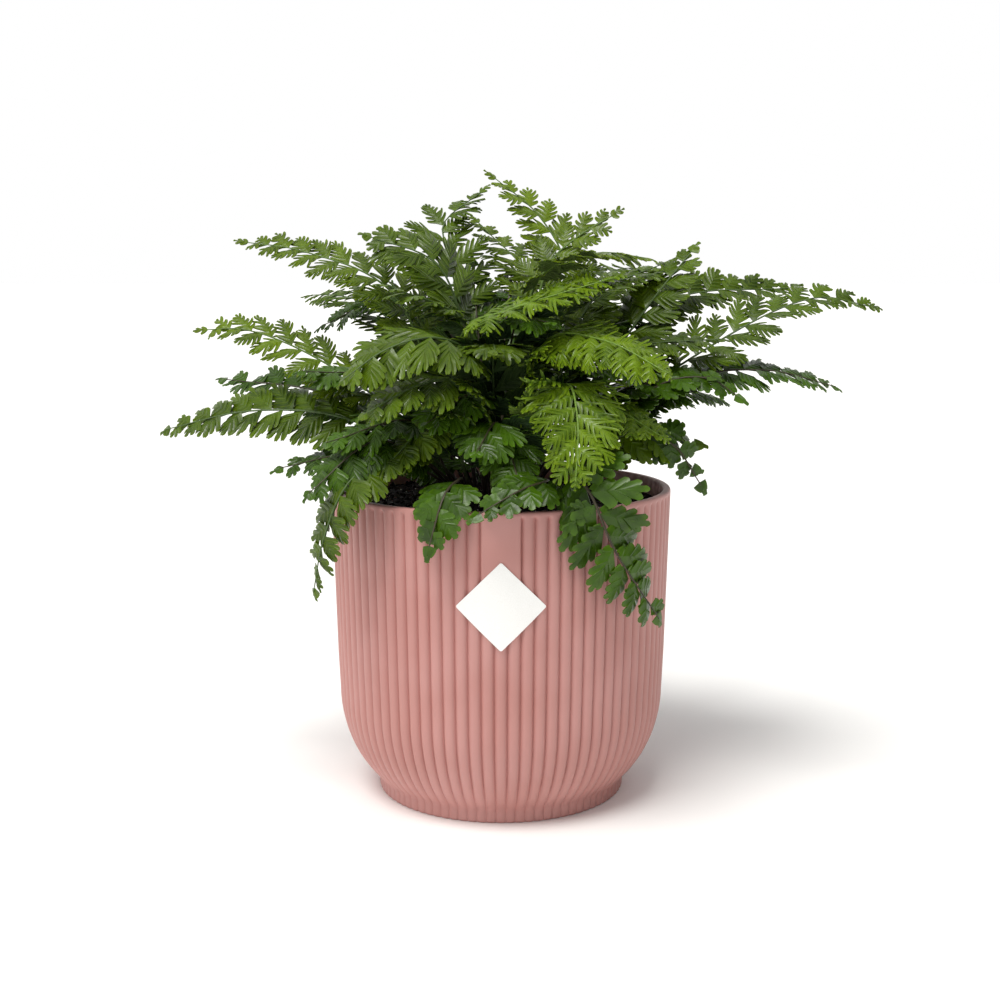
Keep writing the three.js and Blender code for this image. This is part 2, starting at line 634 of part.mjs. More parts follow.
// The young frond: a stem that ends in a tight coil, swept round with few sides and a shrinking section
function coilGeometry() {
  const { azimuth, reach, coilRise, coilRadius, turns, drift, stemRadius, endRadius, sides, steps } = COIL;
  const foot = polar(CROWN.outer, azimuth, 0);
  foot.z = soilHeight(foot.x, foot.y) - STALK.depth;
  const out = heading(azimuth, 0);
  const high = new THREE.Vector3(0, 0, 1);
  const eye = polar(reach, azimuth, POT.height + coilRise);
  const path = [foot];
  const bottom = eye.clone().addScaledVector(out, -coilRadius);
  path.push(foot.clone().lerp(bottom, 0.45));
  for (let i = 0; i <= steps; i++) {
    const turn = 2 * Math.PI * turns * (i / steps);
    const radius = coilRadius * (1 - COIL.tighten * (i / steps));
    const at = eye.clone().addScaledVector(out, -radius * Math.cos(turn));
    at.addScaledVector(high, radius * Math.sin(turn));
    path.push(at.addScaledVector(out.clone().cross(high), drift * i));
  }
  const positions = [];
  const index = [];
  const side = out.clone().cross(high).normalize();
  path.forEach((at, i) => {
    const before = path[Math.max(0, i - 1)];
    const after = path[Math.min(path.length - 1, i + 1)];
    const along = after.clone().sub(before).normalize();
    const over = side.clone().cross(along).normalize();
    const radius = i < 2 ? stemRadius : lerp(stemRadius, endRadius, (i - 2) / steps);
    for (let k = 0; k < sides; k++) {
      const angle = (2 * Math.PI * (k + 0.5)) / sides;
      const spoke = blend(side, radius * Math.cos(angle), over, radius * Math.sin(angle));
      positions.push(...at.clone().add(spoke));
      if (i === 0) continue;
      const [a, b] = [(i - 1) * sides + k, (i - 1) * sides + ((k + 1) % sides)];
      index.push(a, a + sides, b, b, a + sides, b + sides);
    }
  });
  const last = (path.length - 1) * sides;
  for (let k = 1; k < sides - 1; k++) index.push(0, k, k + 1, last, last + k + 1, last + k);
  const geometry = new THREE.BufferGeometry();
  geometry.setAttribute("position", new THREE.BufferAttribute(new Float32Array(positions), 3));
  geometry.setIndex(index);
  return geometry;
}

// The square hole in the soil that the coiled frond's stem stands in
function coilHole() {
  const width = 2 * (COIL.stemRadius + STALK.holeClearance);
  const foot = polar(CROWN.outer, COIL.azimuth, 0);
  const low = soilHeight(foot.x, foot.y) - STALK.depth - STALK.holeClearance;
  const hole = new THREE.BoxGeometry(width, width, STALK.holeLength).rotateZ(rad(COIL.azimuth));
  return hole.translate(foot.x, foot.y, low + STALK.holeLength / 2);
}

const fern = new THREE.Group();

function addMesh(name, geometry, look) {
  const mesh = new THREE.Mesh(geometry, look);
  mesh.name = name;
  fern.add(mesh);
}

addMesh("pot", potGeometry(), MATERIALS.pot);
addMesh("soil", soilGeometry([...FRONDS.map(stalkHole), coilHole()]), MATERIALS.soil);
addMesh("label", labelGeometry(), MATERIALS.label);
addMesh("young_coil", coilGeometry(), MATERIALS.coil);
FRONDS.forEach((frond, i) => {
  const leaf = new Leaf(frond, i * 101 + 7);
  addMesh(`frond_${frond.name}`, leaf.geometry(), MATERIALS.frond);
});

export default fern;
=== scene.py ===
"""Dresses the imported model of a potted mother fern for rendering.

A ribbed plastic pot with a blank diamond label holds dark potting soil, and a rosette of arching, twice-cut
fronds stands in the soil. Sizes are written in millimetres and degrees and become metres and radians where a
mesh is made. Azimuth 0 points along +X, 90 along +Y (the back) and 270 at the viewer's side.
"""

import logging
import math
from bisect import bisect_left
from dataclasses import dataclass, replace
from enum import Enum
from typing import Any, Callable

import bpy
from mathutils import Matrix, Vector, noise


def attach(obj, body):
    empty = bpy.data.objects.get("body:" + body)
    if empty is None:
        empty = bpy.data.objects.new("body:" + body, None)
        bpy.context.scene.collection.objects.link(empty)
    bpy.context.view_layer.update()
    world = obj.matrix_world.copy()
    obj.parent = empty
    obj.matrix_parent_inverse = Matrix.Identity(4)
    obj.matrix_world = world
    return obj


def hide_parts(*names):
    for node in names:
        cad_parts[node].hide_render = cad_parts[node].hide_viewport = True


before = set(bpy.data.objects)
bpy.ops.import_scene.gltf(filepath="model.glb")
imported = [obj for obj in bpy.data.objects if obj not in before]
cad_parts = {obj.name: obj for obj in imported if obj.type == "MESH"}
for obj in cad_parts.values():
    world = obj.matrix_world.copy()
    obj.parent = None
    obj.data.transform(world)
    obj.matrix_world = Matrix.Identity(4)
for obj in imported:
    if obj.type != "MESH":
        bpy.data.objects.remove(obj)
log = logging.getLogger("fern")

MM = 0.001
POT_HEIGHT = 129.0
FRONT = 270.0
SEAM_WIDTH = 0.02  # millimetres between corners that are one corner

# A Map Range node with eased ends. Its row of inputs is the value, the range that it reads and the range that
# it gives.
EASED = {"interpolation_type": "SMOOTHSTEP"}
# A Mix node for colours, whose inputs are 0 for the share, 6 for the first colour and 7 for the second.
BLEND = {"data_type": "RGBA", "output": 2}

# Azimuth in degrees, distance from the pot's axis and height above the rim, both in millimetres.
Place = tuple[float, float, float]


# Small helpers


def wobble(seed: float) -> float:
    """Returns a repeatable number from -0.5 to 0.5 for a seed, so that no two leaflets are quite alike."""
    s = math.sin(seed * 12.9898) * 43758.5453
    return s - math.floor(s) - 0.5


def lerp(a: float, b: float, share: float) -> float:
    """Returns the value that lies at a share of the way from a to b."""
    return a + (b - a) * share


def clamp(value: float, low: float = 0.0, high: float = 1.0) -> float:
    """Returns the value held between low and high."""
    return max(low, min(high, value))


def smooth(value: float, start: float, end: float) -> float:
    """Returns 0 before start, 1 after end and an eased value between them."""
    t = clamp((value - start) / (end - start))
    return t * t * (3 - 2 * t)


def polar(radius: float, azimuth: float, z: float) -> Vector:
    """Returns the point at a distance from the pot's axis, an azimuth in degrees and a height."""
    turn = math.radians(azimuth)
    return Vector((radius * math.cos(turn), radius * math.sin(turn), z))


def heading(azimuth: float, elevation: float) -> Vector:
    """Returns the direction that points to an azimuth and an elevation, both in degrees."""
    rise = math.radians(elevation)
    return polar(math.cos(rise), azimuth, math.sin(rise))


def spot(place: Place) -> Vector:
    """Returns the point of a place that is given by azimuth, distance and height above the rim."""
    azimuth, radius, rise = place
    return polar(radius, azimuth, POT_HEIGHT + rise)


def linear(code: str) -> tuple[float, float, float, float]:
    """Turns an sRGB hex colour into the linear colour that a shader takes.

    Args:
        code: The colour as "#RRGGBB".

    Returns:
        Red, green, blue and an alpha of 1.
    """
    parts = [int(code[i : i + 2], 16) / 255 for i in (1, 3, 5)]
    red, green, blue = [p / 12.92 if p <= 0.04045 else ((p + 0.055) / 1.055) ** 2.4 for p in parts]
    return (red, green, blue, 1.0)


def add_node(
    tree: bpy.types.NodeTree, kind: str, inputs: Any = (), output: Any = 0, **settings: Any
) -> bpy.types.NodeSocket:
    """Adds a node to a tree, with its settings and its links.

    Args:
        tree: The node tree that gets the node.
        kind: The node's type, such as "ShaderNodeMix".
        inputs: What each input takes, a value or the socket that feeds it. It is a row that begins with the
            first input, or a dictionary by the inputs' names or numbers.
        output: The name or the number of the output that is wanted.
        settings: Properties of the node.

    Returns:
        That output's socket.
    """
    node = tree.nodes.new(kind)
    for name, value in settings.items():
        setattr(node, name, value)
    for key, value in inputs.items() if isinstance(inputs, dict) else enumerate(inputs):
        if isinstance(value, bpy.types.NodeSocket):
            tree.links.new(value, node.inputs[key])
        else:
            node.inputs[key].default_value = value
    return node.outputs[output]


def density(size: float) -> float:
    """Returns the scale of a noise whose lumps are a size in millimetres apart."""
    return 1 / (size * MM)


def deselect_all() -> None:
    """Leaves nothing selected, so that an operator reaches only what is selected after it."""
    if bpy.context.object and bpy.context.object.mode != "OBJECT":
        bpy.ops.object.mode_set(mode="OBJECT")
    bpy.ops.object.select_all(action="DESELECT")


def pick(piece: bpy.types.Object) -> None:
    """Selects one object alone and makes it the active one.

    Args:
        piece: The object.
    """
    deselect_all()
    piece.select_set(True)
    bpy.context.view_layer.objects.active = piece


def make_piece(name: str, points: list[Vector], edges: list, faces: list) -> bpy.types.Object:
    """Makes a mesh object from points in millimetres.

    Args:
        name: The object's and the mesh's name.
        points: The places of its corners, in millimetres.
        edges: Pairs of corners, for a mesh with no faces.
        faces: The corners of each face, in order.

    Returns:
        The new object, in metres, at the origin.
    """
    mesh = bpy.data.meshes.new(name)
    mesh.from_pydata([Vector(p) * MM for p in points], edges, faces)
    piece = bpy.data.objects.new(name, mesh)
    bpy.context.scene.collection.objects.link(piece)
    return piece


def smooth_faces(piece: bpy.types.Object, angle: float) -> None:
    """Shades a piece smooth, except over edges sharper than an angle in degrees."""
    pick(piece)
    bpy.ops.object.shade_smooth_by_angle(angle=math.radians(angle))


def add_modifier(piece: bpy.types.Object, kind: str, **settings: Any) -> None:
    """Adds a modifier to a piece and applies it.

    Args:
        piece: The mesh object.
        kind: The modifier's type, such as "SOLIDIFY".
        settings: Properties of the modifier.
    """
    pick(piece)
    modifier = piece.modifiers.new(kind.title(), kind)
    for name, value in settings.items():
        setattr(modifier, name, value)
    bpy.ops.object.modifier_apply(modifier=modifier.name)


def spin_section(name: str, section: list[tuple[float, float]], steps: int) -> bpy.types.Object:
    """Spins a section about the pot's axis into a closed body.

    Args:
        name: The new object's name.
        section: Radius and height of each point in millimetres. Both ends lie on the axis.
        steps: How many columns the body has.

    Returns:
        The closed body, with its faces pointing out.
    """
    points = [Vector((r, 0, z)) for r, z in section]
    piece = make_piece(name, points, [(i, i + 1) for i in range(len(points) - 1)], [])
    pick(piece)
    bpy.ops.object.mode_set(mode="EDIT")
    bpy.ops.mesh.select_all(action="SELECT")
    bpy.ops.mesh.spin(steps=steps, angle=2 * math.pi, center=(0, 0, 0), axis=(0, 0, 1))
    bpy.ops.mesh.select_all(action="SELECT")
    bpy.ops.mesh.remove_doubles(threshold=SEAM_WIDTH * MM)
    bpy.ops.mesh.normals_make_consistent(inside=False)
    bpy.ops.object.mode_set(mode="OBJECT")
    return piece


def join_pieces(pieces: list[bpy.types.Object], name: str) -> bpy.types.Object:
    """Joins mesh objects into the first of them and gives it a name.

    Args:
        pieces: The objects, of which all but the first are used up.
        name: The joined object's name.

    Returns:
        The joined object.
    """
    pick(pieces[0])
    for piece in pieces[1:]:
        piece.select_set(True)
    bpy.ops.object.join()
    pieces[0].name = pieces[0].data.name = name
    return pieces[0]


def hand_over(piece: bpy.types.Object, slot: str, node: str | None = None) -> None:
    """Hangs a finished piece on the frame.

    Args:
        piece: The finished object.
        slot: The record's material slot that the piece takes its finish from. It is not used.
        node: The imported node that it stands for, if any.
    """
    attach(piece, "root")
    if node:
        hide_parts(node)
    log.info("%s: %d faces", piece.name, len(piece.data.polygons))


# Finishes


@dataclass(frozen=True)
class Finish:
    """A surface finish, made as a material when it is first asked for."""

    name: str
    roughness: float
    ior: float

    def material(self) -> bpy.types.Material:
        """Gives the finish's material.

        Returns:
            The material, which is made on first use and shared after that.
        """
        if self.name in bpy.data.materials:
            return bpy.data.materials[self.name]
        made = bpy.data.materials.new(self.name)
        made.use_nodes = True
        shader = made.node_tree.nodes["Principled BSDF"]
        shader.inputs["Roughness"].default_value = self.roughness
        shader.inputs["IOR"].default_value = self.ior
        place = add_node(made.node_tree, "ShaderNodeTexCoord", output="Object")
        self.paint(made.node_tree, shader.inputs, place)
        return made

    def paint(self, tree: bpy.types.NodeTree, surface: Any, place: bpy.types.NodeSocket) -> None:
        """Adds the pattern's nodes. Each finish has its own.

        Args:
            tree: The material's node tree.
            surface: The inputs of the surface shader.
            place: The socket that gives the piece's own coordinates.
        """
        raise NotImplementedError


@dataclass(frozen=True)
class MouldedPlastic(Finish):
    """Injection-moulded polypropylene: even, satin, with a faint grain that softens its highlights."""

    colour: str
    faded: str
    mottle: float
    grit: float

    RELIEF = 0.02

    def paint(self, tree: bpy.types.NodeTree, surface: Any, place: bpy.types.NodeSocket) -> None:
        """Blends two close tints in broad clouds and roughens the skin with a fine grain.

        Args:
            tree: The material's node tree.
            surface: The inputs of the surface shader.
            place: The socket that gives the piece's own coordinates.
        """
        clouds = add_node(tree, "ShaderNodeTexNoise", {"Vector": place, "Scale": density(self.mottle)})
        share = add_node(tree, "ShaderNodeMapRange", (clouds, 0.3, 0.7, 0, 1), **EASED)
        tints = {0: share, 6: linear(self.colour), 7: linear(self.faded)}
        tree.links.new(add_node(tree, "ShaderNodeMix", tints, **BLEND), surface["Base Color"])
        fine = add_node(tree, "ShaderNodeTexNoise", {"Vector": place, "Scale": density(self.grit)})
        matt = (fine, 0.2, 0.8, self.roughness - 0.05, self.roughness + 0.06)
        tree.links.new(add_node(tree, "ShaderNodeMapRange", matt, **EASED), surface["Roughness"])
        skin = {"Distance": self.RELIEF * MM, "Height": fine, "Strength": 1.0}
        tree.links.new(add_node(tree, "ShaderNodeBump", skin), surface["Normal"])


@dataclass(frozen=True)
class CoatedPaper(Finish):
    """Coated label paper: bright white and smooth, with a hardly visible fibre."""

    colour: str
    shade: str
    fibre: float

    RELIEF = 0.01

    def paint(self, tree: bpy.types.NodeTree, surface: Any, place: bpy.types.NodeSocket) -> None:
        """Tints the white by the fibre and lifts it a little.

        Args:
            tree: The material's node tree.
            surface: The inputs of the surface shader.
            place: The socket that gives the piece's own coordinates.
        """
        felt = {"Vector": place, "Scale": density(self.fibre), "Detail": 4}
        fibre = add_node(tree, "ShaderNodeTexNoise", felt)
        share = add_node(tree, "ShaderNodeMapRange", (fibre, 0.3, 0.7, 0, 0.5), **EASED)
        tints = {0: share, 6: linear(self.colour), 7: linear(self.shade)}
        tree.links.new(add_node(tree, "ShaderNodeMix", tints, **BLEND), surface["Base Color"])
        lift = {"Distance": self.RELIEF * MM, "Height": fibre, "Strength": 1.0}
        tree.links.new(add_node(tree, "ShaderNodeBump", lift), surface["Normal"])


@dataclass(frozen=True)
class Crumb(Finish):
    """Loose, matt organic matter, such as moist peat or bark: two earth colours mixed lump by lump."""

    dark: str
    light: str
    lump: float

    RELIEF = 0.5

    def paint(self, tree: bpy.types.NodeTree, surface: Any, place: bpy.types.NodeSocket) -> None:
        """Mixes the earth colours by a noise of the lumps' size and roughens the surface.

        Args:
            tree: The material's node tree.
            surface: The inputs of the surface shader.
            place: The socket that gives the piece's own coordinates.
        """
        heap = {"Vector": place, "Scale": density(self.lump), "Detail": 4}
        lumps = add_node(tree, "ShaderNodeTexNoise", heap)
        share = add_node(tree, "ShaderNodeMapRange", (lumps, 0.42, 0.68, 0, 1), **EASED)
        earths = {0: share, 6: linear(self.dark), 7: linear(self.light)}
        tree.links.new(add_node(tree, "ShaderNodeMix", earths, **BLEND), surface["Base Color"])
        rough = {"Distance": self.RELIEF * MM, "Height": lumps, "Strength": 1.0}
        tree.links.new(add_node(tree, "ShaderNodeBump", rough), surface["Normal"])


@dataclass(frozen=True)
class FernBlade(Finish):
    """A living fern blade: a waxy skin over green tissue, with a vein down the middle of each lobe.

    The piece's UV map runs from a lobe's vein (0) to its edge (1) and from the leaflet's middle (0) to the
    lobe's end (1). The attribute "tone" says how bright each leaflet is.
    """

    deep: str
    bright: str
    vein: str
    tip: str
    relief: float

    CLOUD = 5.0  # millimetres between paler and darker tissue
    SKIN = 1.1  # millimetres between the skin's uneven spots, coarser than life so that they show
    SHEEN = 0.34  # a wax that reflects less than clear lacquer would
    DEPTH = 0.6  # millimetres that light goes into the tissue

    def paint(self, tree: bpy.types.NodeTree, surface: Any, place: bpy.types.NodeSocket) -> None:
        """Draws the tissue, the veins, the paler lobe ends and the waxy skin.

        Args:
            tree: The material's node tree.
            surface: The inputs of the surface shader.
            place: The socket that gives the piece's own coordinates.
        """
        across = add_node(tree, "ShaderNodeSeparateXYZ", (add_node(tree, "ShaderNodeUVMap"),))
        outward = across.node.outputs[1]
        tone = add_node(tree, "ShaderNodeAttribute", output="Fac", attribute_name="tone")
        patches = add_node(tree, "ShaderNodeTexNoise", {"Vector": place, "Scale": density(self.CLOUD)})
        cloud = add_node(tree, "ShaderNodeMapRange", (patches, 0.3, 0.7, -0.18, 0.18), **EASED)
        light = add_node(tree, "ShaderNodeMath", (tone, cloud), operation="ADD", use_clamp=True)
        greens = {0: light, 6: linear(self.deep), 7: linear(self.bright)}
        tissue = add_node(tree, "ShaderNodeMix", greens, **BLEND)
        ends = add_node(tree, "ShaderNodeMapRange", (outward, 0.55, 1.0, 0, 0.55), **EASED)
        tissue = add_node(tree, "ShaderNodeMix", {0: ends, 6: tissue, 7: linear(self.tip)}, **BLEND)
        vein = add_node(tree, "ShaderNodeMapRange", (across, 0.04, 0.34, 1, 0), **EASED)
        fade = add_node(tree, "ShaderNodeMapRange", (outward, 0.5, 0.98, 0.45, 0), **EASED)
        mask = add_node(tree, "ShaderNodeMath", (vein, fade), operation="MULTIPLY")
        leaf = add_node(tree, "ShaderNodeMix", {0: mask, 6: tissue, 7: linear(self.vein)}, **BLEND)
        tree.links.new(leaf, surface["Base Color"])
        skin = add_node(tree, "ShaderNodeTexNoise", {"Vector": place, "Scale": density(self.SKIN)})
        gloss = (skin, 0.3, 0.7, self.roughness - 0.06, self.roughness + 0.1)
        tree.links.new(add_node(tree, "ShaderNodeMapRange", gloss, **EASED), surface["Roughness"])
        spots = add_node(tree, "ShaderNodeMath", (skin, 0.35), operation="MULTIPLY")
        height = add_node(tree, "ShaderNodeMath", (spots, vein), operation="SUBTRACT")
        sunk_veins = {"Distance": self.relief * MM, "Height": height, "Strength": 1.0}
        tree.links.new(add_node(tree, "ShaderNodeBump", sunk_veins), surface["Normal"])
        surface["Specular IOR Level"].default_value = self.SHEEN
        surface["Subsurface Weight"].default_value = 0.12
        surface["Subsurface Scale"].default_value = self.DEPTH * MM
        surface["Subsurface Radius"].default_value = (0.6, 1.0, 0.2)


@dataclass(frozen=True)
class FernStalk(Finish):
    """A fern's stalk: smooth and green above, brown and scurfy where it leaves the soil.

    The piece's UV map runs round the stalk and from its foot (0) to its tip (1).
    """

    foot: str
    green: str
    turn: float
    streak: float

    RELIEF = 0.08

    def paint(self, tree: bpy.types.NodeTree, surface: Any, place: bpy.types.NodeSocket) -> None:
        """Blends from the brown foot to the green midrib, with a fine streak.

        Args:
            tree: The material's node tree.
            surface: The inputs of the surface shader.
            place: The socket that gives the piece's own coordinates.
        """
        way = add_node(tree, "ShaderNodeSeparateXYZ", (add_node(tree, "ShaderNodeUVMap"),), output=1)
        rise = add_node(tree, "ShaderNodeMapRange", (way, self.turn * 0.3, self.turn, 0, 1), **EASED)
        stem = {0: rise, 6: linear(self.foot), 7: linear(self.green)}
        base = add_node(tree, "ShaderNodeMix", stem, **BLEND)
        streak = add_node(tree, "ShaderNodeTexNoise", {"Vector": place, "Scale": density(self.streak)})
        share = add_node(tree, "ShaderNodeMapRange", (streak, 0.4, 0.7, 0, 0.35), **EASED)
        scurf = add_node(tree, "ShaderNodeMix", {0: share, 6: base, 7: linear(self.foot)}, **BLEND)
        tree.links.new(scurf, surface["Base Color"])
        scales = {"Distance": self.RELIEF * MM, "Height": streak, "Strength": 1.0}
        tree.links.new(add_node(tree, "ShaderNodeBump", scales), surface["Normal"])


@dataclass(frozen=True)
class StudioPaper(Finish):
    """The pale seamless paper that the pot stands on."""

    colour: str

    def paint(self, tree: bpy.types.NodeTree, surface: Any, place: bpy.types.NodeSocket) -> None:
        """Sets one even colour."""
        surface["Base Color"].default_value = linear(self.colour)


# Polypropylene from a mould: its fine grain spreads the light, so that the ribs show soft, satin highlights.
POT_PLASTIC = MouldedPlastic("moulded_polypropylene_pink", 0.5, 1.49, "#C18C86", "#BA837C", 34, 0.35)
# Paper with a clay coating: flat and bright, with a faint gloss where it bends round the pot.
LABEL_PAPER = CoatedPaper("coated_label_paper_white", 0.35, 1.5, "#FAFAF8", "#EDECE8", 0.3)
# Moist peat: nearly black and without gloss, since the water fills the gaps between its fibres.
PEAT = Crumb("moist_peat_dark", 0.95, 1.4, "#0E0807", "#2B1A14", 1.6)
# Composted bark: small red-brown flakes that are drier, and so paler, than the peat.
BARK = Crumb("composted_bark_red_brown", 0.85, 1.45, "#472820", "#7E5344", 0.9)
# Perlite, a glass blown up by heat: off-white grains that the eye catches as specks in the dark soil.
PERLITE = Crumb("perlite_off_white", 0.8, 1.5, "#BDB6AE", "#F2EEE8", 0.6)
# The scales of a young fern: a pale green nap that hides the stem and its gloss.
FUZZ = Crumb("young_frond_scales_pale_green", 0.75, 1.4, "#5C6B2E", "#A9B56A", 0.5)
# Seamless background paper: matt and even, so that only the pot's shadow shows on it.
PAPER_FLOOR = StudioPaper("seamless_paper_white", 0.9, 1.45, "#F6F6F5")


class Age(Enum):
    """How old a frond is, which sets the colours of its upper side and the record's slot."""

    LIME = "lime"
    YOUNG = "young"
    GROWN = "grown"
    OLD = "old"

    def upper(self) -> FernBlade:
        """Gives the finish of the blade's upper side.

        Returns:
            The finish, in this age's greens.
        """
        looks = {
            Age.LIME: ("#2F4A04", "#68840C", "#86A024", "#86A21C"),
            Age.YOUNG: ("#2C4204", "#637C08", "#788A24", "#788C12"),
            Age.GROWN: ("#203402", "#516A08", "#66781E", "#617810"),
            Age.OLD: ("#182C02", "#3F6008", "#507018", "#4C6E0C"),
        }
        deep, bright, vein, tip = looks[self]
        return FernBlade(f"waxy_fern_blade_{self.value}", 0.33, 1.45, deep, bright, vein, tip, 0.12)

    def under(self) -> FernBlade:
        """Gives the finish of the blade's underside.

        Returns:
            The finish, paler and duller than the upper side's.
        """
        looks = {
            Age.LIME: ("#50701E", "#768F3A", "#8CA054", "#80963F"),
            Age.YOUNG: ("#3F5622", "#60733A", "#74824C", "#6B7B3E"),
            Age.GROWN: ("#2C4420", "#495F30", "#5E7042", "#536834"),
            Age.OLD: ("#1E3618", "#344C28", "#4A603C", "#3E562C"),
        }
        deep, bright, vein, tip = looks[self]
        return FernBlade(f"fern_underside_{self.value}", 0.6, 1.4, deep, bright, vein, tip, 0.08)

    def stalk(self) -> FernStalk:
        """Gives the finish of the stalk and midrib."""
        green = {Age.LIME: "#6F8F33", Age.YOUNG: "#5E7A34", Age.GROWN: "#4A6230", Age.OLD: "#3F3A28"}[self]
        return FernStalk(f"fern_stalk_{self.value}", 0.5, 1.43, "#241812", green, 0.35, 0.9)

    def slot(self) -> str:
        """Returns the record's material slot."""
        return {Age.LIME: "frond_young", Age.YOUNG: "frond_young", Age.OLD: "frond_old"}.get(self, "frond")


# The pot


@dataclass
class RibbedPot:
    """The round pot: a turned wall with ribs all round, a plain panel at the front and a low foot ring."""

    rim_radius: float = 71.0
    shoulder_radius: float = 68.8
    shoulder_height: float = 44.6
    shoulder_depth: float = 33.6
    foot_radius: float = 52.2
    foot_flare: float = 0.35
    foot_blend: float = 1.1
    wall: float = 3.2
    floor: float = 4.0
    lip_round: float = 0.9
    inner_round: float = 0.8
    ribs: int = 84
    rib_depth: float = 1.75
    groove_round: float = 0.07
    columns: int = 12
    panel_ribs: float = 3.0
    panel_bottom: float = 96.0
    fade: float = 1.6
    foot_ribs: float = 0.3
    foot_fade: float = 20.0
    inner_ripple: float = 0.12
    crest_inset: float = 0.35

    FOOT_HEIGHTS = (1.1, 2.2, 3.4, 4.4, 5.2, 6, 6.8, 7.8, 9, 10.5)
    SHOULDER_START = 12.5
    SHOULDER_STEPS = 10
    LIP_ROWS = (3.6, 2.6, 2.0, 1.4)  # millimetres below the lip's top
    EDGE_ROWS = (-1.2, -0.6, 0, 0.6, 1.2)  # millimetres above the panel's lower edge
    RIB_TOP = 1.3  # millimetres below the lip's top at which the ribs have run out

    def crest_radius(self, z: float) -> float:
        """Works out the outer radius over the ribs' crests.

        Args:
            z: The height in millimetres.

        Returns:
            The radius in millimetres.
        """
        if z >= self.shoulder_height:
            share = (z - self.shoulder_height) / (POT_HEIGHT - self.shoulder_height)
            return lerp(self.shoulder_radius, self.rim_radius, share)
        u = (self.shoulder_height - z) / self.shoulder_height
        shoulder = self.shoulder_radius - self.shoulder_depth * (1 - math.sqrt(1 - u * u))
        foot = self.foot_radius + self.foot_flare * (1 - smooth(z, 1, 7))
        return (shoulder + foot + math.hypot(shoulder - foot, 2 * self.foot_blend)) / 2 - self.crest_inset

    def inner_radius(self, z: float) -> float:
        """Returns the inner wall's radius at a height."""
        return self.crest_radius(z) - self.wall

    def outer_section(self) -> list[tuple[float, float]]:
        """Draws the outer wall.

        Returns:
            Radius and height of its points, from the middle of the underside up to the lip's top.
        """
        foot = self.crest_radius(self.FOOT_HEIGHTS[0])
        points = [(0, 0), (foot - 6, 0), (foot - 1.1, 0), (foot - 0.5, 0.12), (foot - 0.12, 0.5)]
        points += [(self.crest_radius(z), z) for z in self.FOOT_HEIGHTS]
        first = math.acos(1 - self.SHOULDER_START / self.shoulder_height)
        for i in range(self.SHOULDER_STEPS + 1):
            angle = lerp(first, math.pi / 2, i / self.SHOULDER_STEPS)
            z = self.shoulder_height * (1 - math.cos(angle))
            points.append((self.crest_radius(z), z))
        heights = [60, 78, *(self.panel_bottom + up for up in self.EDGE_ROWS), 112]
        heights += [POT_HEIGHT - down for down in self.LIP_ROWS]
        points += [(self.crest_radius(z), z) for z in heights]
        for i in range(5):
            angle = math.radians(22.5 * i)
            radius = self.rim_radius - 0.1 - self.lip_round * (1 - math.cos(angle))
            points.append((radius, POT_HEIGHT - self.lip_round * (1 - math.sin(angle))))
        return points

    def inner_section(self) -> list[tuple[float, float]]:
        """Draws the inner wall.

        Returns:
            Radius and height of its points, from the lip's top down to the middle of the floor.
        """
        points = []
        for i in range(4):
            angle = math.radians(30 * i)
            radius = self.inner_radius(POT_HEIGHT) + self.inner_round * (1 - math.sin(angle))
            points.append((radius, POT_HEIGHT - self.inner_round * (1 - math.cos(angle))))
        points += [(self.inner_radius(z), z) for z in (124, 118, 80, self.shoulder_height, 30, 18)]
        return points + [(self.inner_radius(8) - 2, self.floor), (0, self.floor)]

    def groove(self, azimuth: float, z: float) -> float:
        """Works out how deep the surface lies below the ribs' crests.

        Args:
            azimuth: The azimuth in degrees.
            z: The height in millimetres.

        Returns:
            The depth in millimetres.
        """
        pitch = 360 / self.ribs
        turns = (azimuth - FRONT) / pitch + 0.5
        phase = turns - math.floor(turns)
        aside = math.hypot(2 * min(phase, 1 - phase), self.groove_round) - self.groove_round
        near = clamp(1 - aside)
        depth = self.rib_depth * (0.55 * (1 - math.sqrt(1 - 0.97 * near * near)) + 0.45 * near**4)
        top = POT_HEIGHT - self.RIB_TOP
        depth *= 1 - smooth(z, top - 0.1 - self.fade, top)
        depth *= lerp(self.foot_ribs, 1, smooth(z, 1, self.foot_fade))
        off = abs((azimuth - FRONT + 180) % 360 - 180)
        edge = self.panel_ribs / 2
        on_panel = 1 - smooth(off, (edge - 0.12) * pitch, (edge - 0.02) * pitch)
        return depth * (1 - on_panel * smooth(z, self.panel_bottom - 0.7, self.panel_bottom + 0.7))

    def press_ribs(self, body: bpy.types.Object) -> None:
        """Moves the wall's points inwards along the grooves, and ripples the inner wall a little.

        Args:
            body: The turned pot.
        """
        for vertex in body.data.vertices:
            x, y, z = vertex.co / MM
            radius = math.hypot(x, y)
            if radius < self.foot_radius - 4 or (z > self.floor and radius < 20):
                continue
            azimuth = math.degrees(math.atan2(y, x))
            outside = radius > self.crest_radius(z) - self.wall * 0.55
            if outside:
                depth = self.groove(azimuth, z)
            else:
                depth = self.inner_ripple * math.cos(math.radians(azimuth * self.ribs))
            share = (radius - depth) / radius
            vertex.co = Vector((x * share, y * share, z)) * MM

    def build(self) -> bpy.types.Object:
        """Builds the pot.

        Returns:
            The finished pot.
        """
        section = self.outer_section() + self.inner_section()
        body = spin_section("ribbed_pot", section, self.ribs * self.columns)
        self.press_ribs(body)
        smooth_faces(body, 50)
        body.data.materials.append(POT_PLASTIC.material())
        return body


